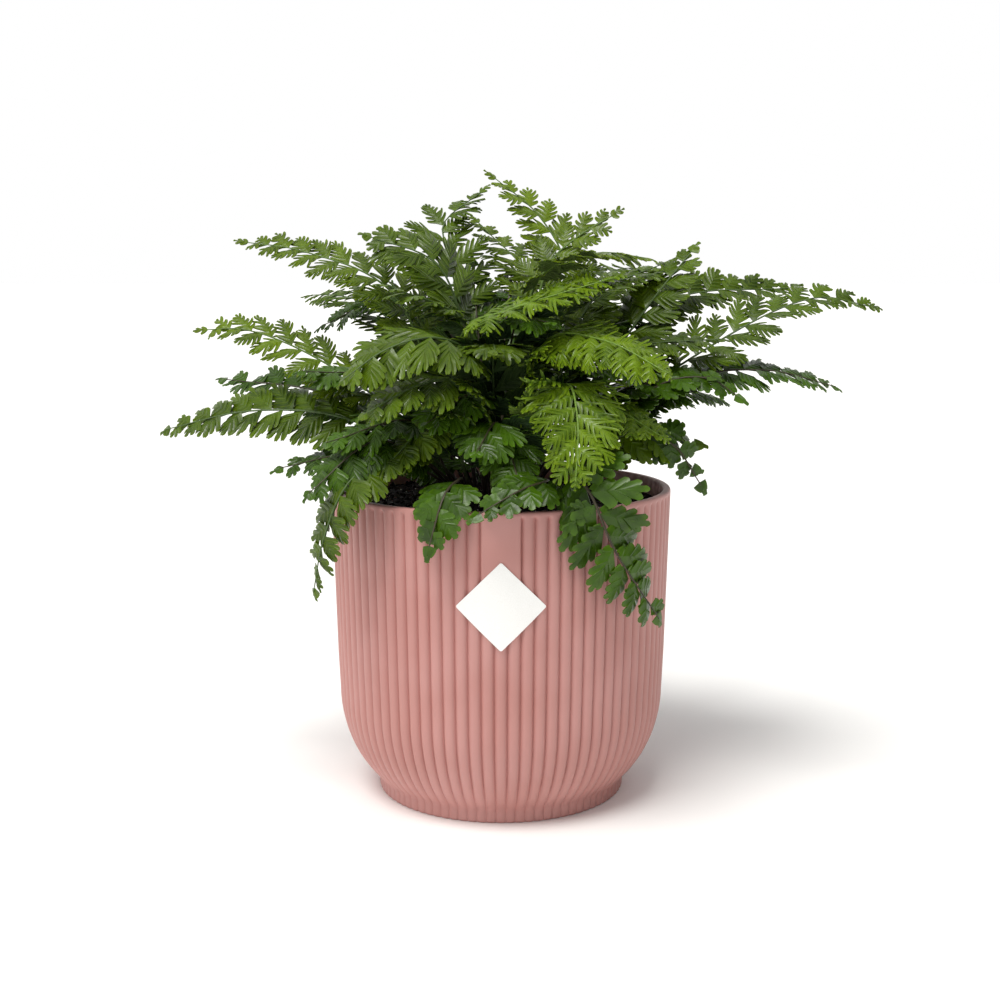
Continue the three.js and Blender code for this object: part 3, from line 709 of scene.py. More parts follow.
@dataclass
class DiamondLabel:
    """The blank diamond label that bridges the ribs at the front."""

    pot: RibbedPot
    half_diagonal: float = 17.4
    height: float = 92.7
    corner: float = 0.8
    stand_off: float = 0.1
    thickness: float = 0.45
    dip: float = 0.05
    cuts: int = 12

    def build(self) -> bpy.types.Object:
        """Builds the label as a square plane with rounded corners, cut in strips and bent round the ribs.

        Returns:
            The finished label.
        """
        deselect_all()
        side = self.half_diagonal * math.sqrt(2) * MM
        bpy.ops.mesh.primitive_plane_add(size=side, rotation=(math.pi / 2, 0, 0))
        label = bpy.context.object
        label.name = label.data.name = "blank_label"
        bpy.ops.object.transform_apply(location=False, rotation=True, scale=True)
        label.data.transform(Matrix.Rotation(math.radians(45), 4, "Y"))
        bpy.ops.object.mode_set(mode="EDIT")
        bpy.ops.mesh.select_all(action="SELECT")
        bpy.ops.mesh.bevel(offset=self.corner * MM, offset_type="OFFSET", segments=5, affect="VERTICES")
        for axis in ((1, 0, 0), (0, 0, 1)):
            for i in range(-self.cuts, self.cuts + 1):
                place = self.half_diagonal * 0.97 * i / self.cuts * MM
                bpy.ops.mesh.select_all(action="SELECT")
                bpy.ops.mesh.bisect(plane_co=Vector(axis) * place, plane_no=axis)
        bpy.ops.object.mode_set(mode="OBJECT")
        self.bend(label)
        add_modifier(label, "SOLIDIFY", thickness=self.thickness * MM, offset=1)
        smooth_faces(label, 30)
        label.data.materials.append(LABEL_PAPER.material())
        return label

    def bend(self, label: bpy.types.Object) -> None:
        """Lays the flat sheet round the ribs' crests, where it dips a hair between them.

        Args:
            label: The flat sheet, standing upright.
        """
        for vertex in label.data.vertices:
            x, _, z = vertex.co / MM
            high = z + self.height
            radius = self.pot.crest_radius(high) + self.stand_off
            turn = FRONT + math.degrees(x / radius)
            dip = self.dip * self.pot.groove(turn, high)
            vertex.co = polar(radius - dip, turn, high) * MM


# The soil


@dataclass
class PottingSoil:
    """Moist peat soil, mounded to the crown, with crumbs, bark bits and perlite lying on it."""

    pot: RibbedPot
    edge_drop: float = 7.0
    crown_rise: float = 5.5
    mound_radius: float = 62.0
    gap: float = 0.35
    depth: float = 30.0
    relief: float = 1.3
    rings: int = 62
    columns: int = 220
    spread: float = 65.5
    seed: int = 41

    COARSE = 7.0  # millimetres between the surface's broad lumps
    FINE = 2.2  # millimetres between its small ones

    def height_at(self, radius: float) -> float:
        """Returns the height of the soil's mean surface at a distance from the axis."""
        share = max(0.0, 1 - radius / self.mound_radius)
        return POT_HEIGHT - self.edge_drop + self.crown_rise * math.sin(share * math.pi / 2)

    def edge_radius(self, z: float) -> float:
        """Returns the soil's radius at a height, a little inside of the pot's wall."""
        return self.pot.inner_radius(z) - self.gap

    def surface(self, x: float, y: float) -> float:
        """Works out the height of the lumpy surface.

        Args:
            x: The place along X in millimetres.
            y: The place along Y in millimetres.

        Returns:
            The height in millimetres.
        """
        radius = math.hypot(x, y)
        coarse = noise.noise(Vector((x, y, 3.0)) / self.COARSE)
        fine = noise.noise(Vector((x, y, 9.0)) / self.FINE)
        ease = smooth(radius, 67.4, 62)
        return self.height_at(radius) + self.relief * (0.7 * coarse + 0.6 * fine) * ease

    def build_bed(self) -> bpy.types.Object:
        """Builds the body of soil in the pot's top.

        Returns:
            The body, with a lumpy surface.
        """
        edge = POT_HEIGHT - self.edge_drop
        bottom = edge - self.depth
        outer = self.edge_radius(edge)
        section = [(0, bottom), (self.edge_radius(bottom), bottom), (outer, edge - 0.4)]
        section += [(outer * (1 - i / self.rings), edge) for i in range(self.rings + 1)]
        bed = spin_section("potting_soil", section, self.columns)
        for vertex in bed.data.vertices:
            x, y, z = vertex.co / MM
            if z > edge - 0.1:
                vertex.co.z = self.surface(x, y) * MM
        smooth_faces(bed, 60)
        bed.data.materials.append(PEAT.material())
        return bed

    def scatter(self, name: str, count: int, sizes: tuple[float, float], stretch: float, look: Finish) -> Any:
        """Scatters copies of one small lump over the soil.

        Args:
            name: The new piece's name.
            count: How many lumps there are.
            sizes: The smallest and the largest lump's width in millimetres.
            stretch: How much longer than wide a lump can be.
            look: The lumps' finish.

        Returns:
            The piece that holds all of the lumps.
        """
        deselect_all()
        bpy.ops.mesh.primitive_ico_sphere_add(subdivisions=1, radius=0.5)
        lump = bpy.context.object
        shape = [v.co * (1 + 0.5 * wobble(i * 7 + count)) for i, v in enumerate(lump.data.vertices)]
        faces = [tuple(p.vertices) for p in lump.data.polygons]
        bpy.data.objects.remove(lump)
        points: list[Vector] = []
        joined: list[tuple[int, ...]] = []
        for i in range(count):
            seed = self.seed + i * 1.37 + count
            radius = self.spread * math.sqrt(wobble(seed) + 0.5)
            azimuth = 360 * wobble(seed + 11.3)
            size = lerp(*sizes, (wobble(seed + 5.1) + 0.5) ** 2)
            turn = Matrix.Rotation(6.28 * wobble(seed + 3.7), 3, "Z")
            turn = turn @ Matrix.Rotation(wobble(seed + 9), 3, "X")
            length = size * (1 + stretch * (wobble(seed + 2) + 0.5))
            form = Matrix.Diagonal((length, size, size * 0.75))
            ground = polar(radius, azimuth, 0)
            ground.z = self.surface(ground.x, ground.y) + size * 0.18
            start = len(points)
            points += [turn @ (form @ p) + ground for p in shape]
            joined += [tuple(corner + start for corner in face) for face in faces]
        piece = make_piece(name, points, [], joined)
        piece.data.materials.append(look.material())
        return piece

    def build(self) -> list[bpy.types.Object]:
        """Builds the soil.

        Returns:
            The bed of soil and the pieces that lie on it.
        """
        return [
            self.build_bed(),
            self.scatter("peat_crumbs", 1500, (0.7, 2.6), 0.7, PEAT),
            self.scatter("bark_bits", 420, (0.5, 1.6), 1.8, BARK),
            self.scatter("perlite_grains", 320, (0.4, 1.05), 0.3, PERLITE),
        ]


# The fronds


@dataclass(frozen=True)
class LobeEnd:
    """The outline of a lobe's end, as a row of points from its near edge to its far edge."""

    columns: tuple[float, ...]  # where each point lies, from the near edge (-1) to the far edge (1)
    ends: tuple[float, ...]  # how far out it lies, as a share of the lobe's length


POINTED = LobeEnd((-1, 0, 1), (0.88, 1.0, 0.9))
NOTCHED = LobeEnd((-1, -0.5, 0, 0.5, 1), (0.84, 0.97, 0.95, 1.0, 0.88))
ROUNDED = LobeEnd((-1, -0.55, 0, 0.55, 1), (0.9, 0.98, 1.0, 0.98, 0.91))


@dataclass(frozen=True)
class LeafletForm:
    """How a leaflet is lobed. Shares are of the leaflet's length unless a comment says otherwise."""

    spacing: float  # millimetres of midrib for each leaflet on one side
    lean: float  # degrees by which the first leaflets lean towards the frond's tip
    width: float  # the leaflet's greatest width as a share of that spacing
    lobe_step: float  # millimetres of leaflet for each lobe on one side
    most_lobes: int
    stem: float  # where the first lobe leaves the midline
    last: float  # where the end lobe leaves it
    centre: float  # the middle of the round outline on which the lobes end
    sweep: float  # degrees of that outline on each side of the tip
    skew: float  # above 0 the outline is widest beyond its middle
    web: float  # how far the lobes are joined, as a share of their length
    finger: float  # a lobe's width as a share of its room
    lobe_end: LobeEnd
    channel: float  # millimetres that a lobe's vein lies below its edges
    blunt: float  # the width of a lobe's end as a share of its width further in
    curl: float  # how unlike each other the lobes bend, as a share of their length
    spur: float = 0.0  # the length of a small leaflet at the near side of the base, as a share
    plain: float = 0.0  # how little the lobes' veins show, from 0 to 1


class Cut(Enum):
    """The cuts of leaflet that the plant has, from the finest to the broadest."""

    FINE = LeafletForm(
        spacing=7.6, lean=24, width=1.48, lobe_step=2.9, most_lobes=7, stem=0.08, last=0.86, centre=0.5,
        sweep=100, skew=-0.1, web=0.16, finger=0.6, lobe_end=POINTED, channel=0.35, blunt=0.7, curl=0.95,
    )
    COMB = LeafletForm(
        spacing=9.2, lean=24, width=1.08, lobe_step=2.9, most_lobes=6, stem=0.1, last=0.84, centre=0.5,
        sweep=100, skew=-0.1, web=0.26, finger=0.66, lobe_end=POINTED, channel=0.3, blunt=0.7, curl=0.5,
    )
    FAN = LeafletForm(
        spacing=8.8, lean=24, width=1.32, lobe_step=4.2, most_lobes=4, stem=0.12, last=0.6, centre=0.56,
        sweep=98, skew=0.06, web=0.56, finger=0.9, lobe_end=NOTCHED, channel=0.32, blunt=0.8, curl=0.3,
    )
    ROUND = LeafletForm(
        spacing=9.6, lean=24, width=1.05, lobe_step=4.6, most_lobes=3, stem=0.2, last=0.58, centre=0.58,
        sweep=112, skew=-0.12, web=0.76, finger=0.98, lobe_end=ROUNDED, channel=0.3, blunt=0.74, curl=0.1,
        spur=0.34, plain=0.6,
    )


class LeafSheet:
    """The growing sheet of one frond's blade: points with their pattern coordinates and tones, and faces."""

    def __init__(self) -> None:
        """Starts with an empty sheet."""
        self.points: list[Vector] = []
        self.marks: list[tuple[float, float]] = []
        self.tones: list[float] = []
        self.faces: list[tuple[int, ...]] = []

    def add(self, at: Vector, across: float, outward: float, tone: float) -> int:
        """Adds a point.

        Args:
            at: Its place in millimetres.
            across: 0 on a lobe's vein and 1 on its edge.
            outward: 0 on the leaflet's midline and 1 at a lobe's end.
            tone: How bright the tissue is, from 0 to 1.

        Returns:
            The point's number.
        """
        self.points.append(at)
        self.marks.append((across, outward))
        self.tones.append(tone)
        return len(self.points) - 1

    def face(self, corners: list[int], flip: bool) -> None:
        """Adds a face, whose corners run the other way round if it is flipped."""
        self.faces.append(tuple(reversed(corners)) if flip else tuple(corners))

    def to_piece(self, name: str) -> bpy.types.Object:
        """Makes the sheet a mesh object.

        Args:
            name: The object's name.

        Returns:
            The object, with its UV map and its tone attribute.
        """
        piece = make_piece(name, self.points, [], self.faces)
        corners = piece.data.uv_layers.new(name="lobe").data
        for loop in piece.data.loops:
            corners[loop.index].uv = self.marks[loop.vertex_index]
        tone = piece.data.attributes.new("tone", "FLOAT", "POINT")
        tone.data.foreach_set("value", self.tones)
        return piece


@dataclass
class Lobe:
    """One lobe of a leaflet, drawn flat: where it leaves the midline, where it ends and its far side."""

    root: Vector
    end: Vector
    far: int = 1

    BOW = 0.1  # how far a lobe bends backwards, as a share of its length

    def point(self, share: float, aside: float = 0.0) -> Vector:
        """Returns a point of the lobe in the leaflet's plane.

        Args:
            share: How far out it lies, from 0 at the midline to 1 at the lobe's end.
            aside: Its distance from the lobe's vein, positive towards the far edge.

        Returns:
            The distance along the leaflet's midline and the distance aside.
        """
        run = self.end - self.root
        ahead = Vector((run.y, -run.x)) * self.far / run.length
        bow = -self.BOW * run.length * 4 * share * (1 - share) * (abs(run.y) / run.length)
        return self.root + run * share + ahead * (bow + aside)

    def room(self, other: "Lobe", share: float) -> float:
        """Measures the room between this lobe's vein and another's.

        Args:
            other: The other lobe.
            share: The share of their length at which it is measured.

        Returns:
            The distance in millimetres.
        """
        run = (self.end - self.root).normalized()
        gap = other.point(share) - self.point(share)
        return abs(run.x * gap.y - run.y * gap.x)


@dataclass
class Leaflet:
    """One leaflet: a short midline with lobes on both sides and one at its end.

    It stands at base and runs along out. The forward side lies towards across, and normal leaves its face.
    """

    base: Vector
    out: Vector
    across: Vector
    normal: Vector
    length: float
    spacing: float
    cut: LeafletForm
    tone: float
    droop: float
    twist: float
    seed: float
    flip: bool

    SAG = 0.35  # how much the leaflet's edges hang
    FORWARD, NEAR = 1.06, 0.94  # the two sides' widths
    SWING = 5.0  # degrees by which lobes differ
    UNEVEN = 0.16  # the share by which their widths differ
    BEND = 0.06  # how far every lobe bends down, as a share of its length
    ROLL = 0.55  # how far a free lobe can roll about its vein
    SPUR_TURN = 62.0  # degrees between the leaflet and its spur

    def mark(self, across: float) -> float:
        """Returns a point's pattern coordinate, from 0 on a lobe's vein to 1 on its edge."""
        return lerp(self.cut.plain, 1, abs(across))

    def place(self, x: float, y: float, rise: float) -> Vector:
        """Bends a point of the flat leaflet into place.

        Args:
            x: Its distance along the midline.
            y: Its distance to the forward side.
            rise: Its height over the leaflet's surface.

        Returns:
            The point, in millimetres.
        """
        bend = self.droop * x / self.length
        curl = self.droop / self.length
        normal = self.normal * math.cos(bend) + self.out * math.sin(bend)
        twist = self.twist * (0.5 + 0.5 * x / self.length)
        aside = self.across * math.cos(twist) + normal * math.sin(twist)
        rise -= self.SAG * y * y / self.spacing
        run = self.out * (math.sin(bend) / curl) - self.normal * ((1 - math.cos(bend)) / curl)
        return self.base + run + aside * y + normal * rise

    def lobes(self) -> tuple[list[Lobe], list[Lobe], Lobe]:
        """Lays out the leaflet's lobes.

        Returns:
            The lobes of the forward side, those of the near side, and the lobe at the end.
        """
        cut = self.cut
        count = int(clamp(round(self.length / cut.lobe_step), 1, cut.most_lobes))
        half = min(self.spacing * cut.width, self.length * 0.8) / 2
        sides: list[list[Lobe]] = []
        for side in (1, -1):
            row = []
            for k in range(count):
                root = self.length * lerp(cut.stem, cut.last, (k + 0.2) / count)
                swing = self.SWING * wobble(self.seed + k + side)
                turn = math.radians(cut.sweep * (1 - k / (count + 0.25)) + swing)
                x = self.length * (cut.centre + (1 - cut.centre) * math.cos(turn))
                y = half * math.sin(turn) * (1 + cut.skew * math.cos(turn))
                y *= self.FORWARD if side > 0 else self.NEAR
                y *= 1 + self.UNEVEN * wobble(self.seed + 3 * k + side)
                row.append(Lobe(Vector((root, 0)), Vector((x, side * y)), side))
            sides.append(row)
        end = Lobe(Vector((self.length * cut.last, 0)), Vector((self.length, 0)), -1)
        return sides[0], sides[1], end

    def finger(self, sheet: LeafSheet, lobe: Lobe, beside: list[Lobe], seed: float) -> list[list[int]]:
        """Adds a lobe's points beyond the midline.

        Args:
            sheet: The sheet that gets the points.
            lobe: The lobe.
            beside: The lobes next to it, which limit its width.
            seed: Makes this lobe unlike its neighbours.

        Returns:
            The points' numbers, column by column from the near edge to the far edge.
        """
        cut = self.cut
        length = (lobe.end - lobe.root).length
        free = 1 - cut.web
        bend = self.BEND + cut.curl * wobble(seed)
        roll = self.ROLL * free * wobble(seed + 4)
        columns = []
        for across, reach in zip(cut.lobe_end.columns, cut.lobe_end.ends):
            column = []
            rows = [(cut.web, 0.94), (lerp(cut.web, 1, 0.5), cut.finger), (reach, cut.finger)]
            for share, fill in rows:
                half = 0.5 * fill * min(lobe.room(other, share) for other in beside)
                if share == reach:
                    half *= cut.blunt
                at = lobe.point(share, across * half)
                rise = -cut.channel * (1 - abs(across)) * math.sin(math.pi * clamp(share * 0.9))
                rise += half * roll * across - bend * length * share * share
                bent = self.place(at.x, at.y, rise)
                column.append(sheet.add(bent, self.mark(across), share, self.tone))
            columns.append(column)
        return columns

    def spur(self) -> "Leaflet":
        """Works out the small leaflet that stands at the near side of this one's base.

        Returns:
            The small leaflet, ready to grow.
        """
        turn = math.radians(self.SPUR_TURN)
        out = self.out * math.cos(turn) - self.across * math.sin(turn)
        across = self.across * math.cos(turn) + self.out * math.sin(turn)
        length = self.length * self.cut.spur * (1 + 0.5 * wobble(self.seed + 5))
        base = self.base + self.out * (0.08 * self.length)
        small = replace(self, base=base, out=out, across=across, length=length, spacing=self.spacing * 0.5)
        return replace(small, seed=self.seed + 90)

    def grow(self, sheet: LeafSheet) -> None:
        """Adds the leaflet's points and faces.

        Args:
            sheet: The sheet that gets them.
        """
        forward, near, end = self.lobes()
        foot = sheet.add(self.place(0, 0, 0), 1, 0, self.tone)
        tip_root = sheet.add(self.place(end.root.x, 0, 0), 0, 0, self.tone)
        crown = self.finger(sheet, end, [forward[-1], near[-1]], self.seed + 50)
        for side, row in ((1, forward), (-1, near)):
            edge = crown[-1] if side > 0 else crown[0]
            self.grow_side(sheet, [*row, end], side, foot, tip_root, edge)
        for first, second in zip(crown, crown[1:]):
            sheet.face([tip_root, first[0], second[0]], self.flip)
            for r in range(len(first) - 1):
                sheet.face([first[r], first[r + 1], second[r + 1], second[r]], self.flip)

    def grow_side(
        self, sheet: LeafSheet, row: list[Lobe], side: int, foot: int, tip_root: int, crown_edge: list[int]
    ) -> None:
        """Adds the lobes of one side and the web that joins them.

        Args:
            sheet: The sheet that gets them.
            row: The side's lobes from the stalk to the tip, with the end lobe last.
            side: 1 on the forward side and -1 on the near side.
            foot: The point where the leaflet leaves the midrib.
            tip_root: The point where the end lobe begins.
            crown_edge: The column of the end lobe that lies at this side.
        """
        flip = self.flip != (side < 0)
        last_root, last_notch = foot, -1
        for k, lobe in enumerate(row[:-1]):
            ahead = row[k + 1]
            beside = [ahead, row[k - 1]] if k else [ahead]
            columns = self.finger(sheet, lobe, beside, self.seed + 10 * k + side)
            step = (ahead.root.x - lobe.root.x) * 0.42
            roots = []
            for across in self.cut.lobe_end.columns:
                at = self.place(lobe.root.x + across * step, 0, 0)
                roots.append(sheet.add(at, self.mark(across), 0, self.tone))
            if last_notch < 0:
                sheet.face([foot, roots[0], columns[0][0]], flip)
            else:
                sheet.face([last_root, roots[0], columns[0][0], last_notch], flip)
            for j in range(len(columns) - 1):
                sheet.face([roots[j], roots[j + 1], columns[j + 1][0], columns[j][0]], flip)
                for r in range(len(columns[j]) - 1):
                    corners = [columns[j][r], columns[j + 1][r], columns[j + 1][r + 1], columns[j][r + 1]]
                    sheet.face(corners, flip)
            far = columns[-1][0]
            near = crown_edge[0]
            if k + 2 < len(row):
                root = sheet.add(self.place((lobe.root.x + ahead.root.x) / 2, 0, 0), 1, 0, self.tone)
                at = (lobe.point(self.cut.web * 0.94) + ahead.point(self.cut.web * 0.94)) / 2
                notch = sheet.add(self.place(at.x, at.y, 0), 1, self.cut.web, self.tone)
            else:
                root = tip_root
                notch = sheet.add((sheet.points[far] + sheet.points[near]) / 2, 1, self.cut.web, self.tone)
            sheet.face([roots[-1], root, notch, far], flip)
            last_root, last_notch = root, notch
        sheet.face([tip_root, crown_edge[0], last_notch], flip)


class Midrib:
    """The line that a frond's midrib follows, measured by length."""

    SAMPLES = 240
    STEP = 0.012  # the share on each side over which a direction is taken

    def __init__(self, curve: Callable[[float], Vector]) -> None:
        """Measures a curve.

        Args:
            curve: The function from 0..1 to the curve's point.
        """
        self.points = [curve(i / self.SAMPLES) for i in range(self.SAMPLES + 1)]
        self.lengths = [0.0]
        for a, b in zip(self.points, self.points[1:]):
            self.lengths.append(self.lengths[-1] + (b - a).length)
        self.length = self.lengths[-1]

    def at(self, share: float) -> Vector:
        """Finds a point of the line.

        Args:
            share: How far along it lies, as a share of the line's length.

        Returns:
            The point, in millimetres.
        """
        target = clamp(share) * self.length
        i = min(max(bisect_left(self.lengths, target), 1), self.SAMPLES)
        span = self.lengths[i] - self.lengths[i - 1]
        return self.points[i - 1].lerp(self.points[i], (target - self.lengths[i - 1]) / span)

    def along(self, share: float) -> Vector:
        """Returns the line's direction at a share of its length."""
        return (self.at(min(share + self.STEP, 1)) - self.at(max(share - self.STEP, 0))).normalized()


def through(places: list[Vector]) -> Callable[[float], Vector]:
    """Makes a smooth curve through points, eased by the square root of their distances.

    Args:
        places: The points, in order.

    Returns:
        A function from 0..1 to the curve's point.
    """
    before = places[0] * 2 - places[1]
    after = places[-1] * 2 - places[-2]
    chain = [before, *places, after]

    def curve(t: float) -> Vector:
        """Finds the curve's point.

        Args:
            t: The parameter, from 0 to 1.

        Returns:
            The point.
        """
        span = (len(places) - 1) * t
        i = min(int(span), len(places) - 2)
        p0, p1, p2, p3 = chain[i : i + 4]
        d0, d1, d2 = [math.sqrt((b - a).length) for a, b in ((p0, p1), (p1, p2), (p2, p3))]
        leave = ((p1 - p0) / d0 - (p2 - p0) / (d0 + d1) + (p2 - p1) / d1) * d1
        enter = ((p2 - p1) / d1 - (p3 - p1) / (d1 + d2) + (p3 - p2) / d2) * d1
        w = span - i
        square = p1 * -3 + p2 * 3 - leave * 2 - enter
        cube = p1 * 2 - p2 * 2 + leave + enter
        return p1 + leave * w + square * w * w + cube * w * w * w

    return curve


def arch(foot: Vector, leave: Vector, enter: Vector, end: Vector) -> Callable[[float], Vector]:
    """Makes a plain arch, which is a cubic Bezier curve.

    Args:
        foot: The point where it begins.
        leave: The point that it heads for from there.
        enter: The point that it comes from at its end.
        end: The point where it ends.

    Returns:
        A function from 0..1 to the arch's point.
    """

    def curve(t: float) -> Vector:
        """Returns the arch's point at a parameter from 0 to 1."""
        rest = 1 - t
        return foot * rest**3 + leave * 3 * t * rest**2 + enter * 3 * t * t * rest + end * t**3

    return curve


class Ring(Enum):
    """The rings of the crown on which the stalks stand, with their radius in millimetres."""

    INNER = 7.5
    MIDDLE = 14.5
    OUTER = 23.0


@dataclass
class Frond:
    """One frond. A place is (azimuth, distance from the axis, height above the rim).

    The frond leaves the soil on a ring of the crown at the azimuth root and at the climb launch, passes over
    the places in over and ends at tip. Where over is empty the line ends at the climb arrive.
    """

    name: str
    age: Age
    cut: Cut
    root: float  # degrees
    ring: Ring
    launch: float  # degrees
    over: list[Place]
    tip: Place
    roll: float  # degrees by which the blade is rolled about its midrib
    vee: float  # degrees by which its leaflets are raised
    half: float  # half the blade's width in millimetres
    bare: float  # the share of the line that is stalk
    arrive: float = 0.0  # degrees
    face: float | None = None  # the azimuth towards which the blade leans, if not the tip's
    look: Age | None = None  # the age that it looks like, if not its own
    seed: int = 0

    # A SPREAD is the range of the chance part of the value that it is named for.
    LEAD = 16.0  # millimetres from the foot to the line's second point
    DEPTH = 5.0  # millimetres of stalk in the soil
    PULL = 0.45  # how far an arch keeps to its first and its last direction
    STALK_WIDTH = 1.8
    RIB_WIDTH = 1.25
    TIP_WIDTH = 0.45
    SIDES = 8
    FEWEST_RINGS = 14
    RING_STEP = 4.5  # millimetres of stalk for each ring of points
    FLAT = 0.9  # the stalk's height as a share of its width
    GROOVED = 0.78  # the height of the groove's edges as a share of the stalk's
    BLADE_THICKNESS = 0.34
    SPUR_FROM = 11.0  # the shortest leaflet that has a spur, in millimetres
    FEWEST_PAIRS = 4
    END_PLACE = 0.975  # the share of the blade at which the leaflet at the tip stands
    END_LENGTH, END_SPACING = 0.7, 0.6  # that leaflet's size as shares of the leaflets' spacing
    LEAN_GAIN, LEAN_SPREAD = 26.0, 9.0  # degrees by which leaflets lean more towards the tip
    LIFT_SPREAD = 12.0  # degrees
    LENGTH_SPREAD = 0.14
    DROOP, DROOP_SPREAD = 26.0, 26.0  # degrees by which a leaflet bends down along its length
    TWIST, TWIST_SPREAD = -16.0, 20.0  # degrees by which a leaflet's end turns about its midline
    END_TWIST = 0.05  # radians
    TONE, TONE_GAIN, TONE_SPREAD = 0.36, 0.34, 0.5  # leaflets are brighter towards the tip
    FROND_SPREAD = 0.3  # how unlike the fronds' tones are

    def midrib(self, soil: PottingSoil) -> Midrib:
        """Draws the line of the stalk and midrib.

        Args:
            soil: The soil that it stands in.

        Returns:
            The line, from below the soil to the tip.
        """
        foot = polar(self.ring.value, self.root, soil.height_at(self.ring.value))
        climb = heading(self.root, self.launch)
        foot = foot - climb * self.DEPTH
        end = spot(self.tip)
        if self.over:
            return Midrib(through([foot, foot + climb * self.LEAD, *map(spot, self.over), end]))
        pull = self.PULL * (end - foot).length
        last = end - heading(self.tip[0], self.arrive) * pull
        return Midrib(arch(foot, foot + climb * pull, last, end))

    def axes(self, line: Midrib, share: float) -> tuple[Vector, Vector, Vector]:
        """Works out the blade's directions.

        Args:
            line: The frond's midrib.
            share: The share of the line at which they hold.

        Returns:
            The directions along the line, to its right and out of the blade's face.
        """
        along = line.along(share)
        ahead = along + heading(self.tip[0] if self.face is None else self.face, 0) * 0.35
        right = Vector((ahead.y, -ahead.x, 0))
        right = (right - along * right.dot(along)).normalized()
        up = right.cross(along)
        tilt = math.radians(self.roll) * clamp((share - 0.2) / 0.25)
        rolled = right * math.cos(tilt) + up * math.sin(tilt)
        return along, rolled, rolled.cross(along)

    def dress(self) -> Age:
        """Returns the age whose finishes the frond wears."""
        return self.look or self.age

    def blade_half(self, blade: float) -> float:
        """Returns half the blade's width at a share of the blade's own length."""
        return self.half * min(1, 0.72 + 1.5 * blade) * (1 - blade) ** 0.68 + 1

    def build_stalk(self, line: Midrib) -> bpy.types.Object:
        """Builds the stalk and midrib as one tapering stem with a groove along its upper side.

        Args:
            line: The frond's midrib.

        Returns:
            The stem.
        """
        sides = self.SIDES
        rings = max(self.FEWEST_RINGS, round(line.length / self.RING_STEP))
        points, faces, marks = [], [], []
        for i in range(rings + 1):
            share = i / rings
            _, right, up = self.axes(line, share)
            if share < self.bare:
                width = lerp(self.STALK_WIDTH, self.RIB_WIDTH, share / self.bare)
            else:
                width = lerp(self.RIB_WIDTH, self.TIP_WIDTH, (share - self.bare) / (1 - self.bare))
            centre = line.at(share)
            for k in range(sides):
                turn = 2 * math.pi * (k + 0.5) / sides
                height = self.FLAT * (self.GROOVED if k in (1, 2) else 1)
                spoke = right * math.cos(turn) + up * math.sin(turn) * height
                points.append(centre + spoke * width / 2)
                marks.append((k / sides, share))
            if i:
                start = (i - 1) * sides
                for k in range(sides):
                    after = (k + 1) % sides
                    faces.append((start + k, start + k + sides, start + after + sides, start + after))
        faces.append(tuple(range(sides)))
        faces.append(tuple(reversed(range(rings * sides, (rings + 1) * sides))))
        stalk = make_piece(f"stalk_{self.name}", points, [], faces)
        corners = stalk.data.uv_layers.new(name="lobe").data
        for loop in stalk.data.loops:
            corners[loop.index].uv = marks[loop.vertex_index]
        stalk.data.attributes.new("tone", "FLOAT", "POINT")
        stalk.data.materials.append(self.dress().stalk().material())
        smooth_faces(stalk, 75)
        return stalk

    def leaflet(self, line: Midrib, place: float, side: int, number: int) -> Leaflet:
        """Works out one leaflet.

        Args:
            line: The frond's midrib.
            place: The share of the blade at which the leaflet stands.
            side: 1 on the right, -1 on the left and 0 for the one at the tip.
            number: Its number along the blade.

        Returns:
            The leaflet, ready to grow.
        """
        share = self.bare + (1 - self.bare) * place
        along, right, up = self.axes(line, share)
        seed = self.seed + number * 2.31 + side
        form = self.cut.value
        lean = math.radians(form.lean + self.LEAN_GAIN * place + self.LEAN_SPREAD * wobble(seed))
        reach = self.blade_half(place) / math.cos(lean) * (1 + self.LENGTH_SPREAD * wobble(seed + 57))
        twist = math.radians(self.TWIST + self.TWIST_SPREAD * wobble(seed + 19))
        if not side:
            lean, reach, twist = math.pi / 2, form.spacing * self.END_LENGTH, self.END_TWIST
        lift = math.radians(self.vee + self.LIFT_SPREAD * wobble(seed + 31))
        out = right * (side * math.cos(lean)) + along * math.sin(lean)
        across = right * (-side * math.sin(lean)) + along * math.cos(lean) if side else -right
        raised = out * math.cos(lift) + up * math.sin(lift)
        normal = up * math.cos(lift) - out * math.sin(lift)
        tone = self.TONE + self.TONE_GAIN * place + self.TONE_SPREAD * wobble(seed + 71)
        return Leaflet(
            base=line.at(share) + up * 0.1,
            out=raised,
            across=across,
            normal=normal,
            length=reach,
            spacing=form.spacing * (1 if side else self.END_SPACING),
            cut=form,
            tone=clamp(tone + self.FROND_SPREAD * wobble(self.seed)),
            droop=math.radians(self.DROOP + self.DROOP_SPREAD * wobble(seed + 13)),
            twist=twist,
            seed=seed,
            flip=side < 0,
        )

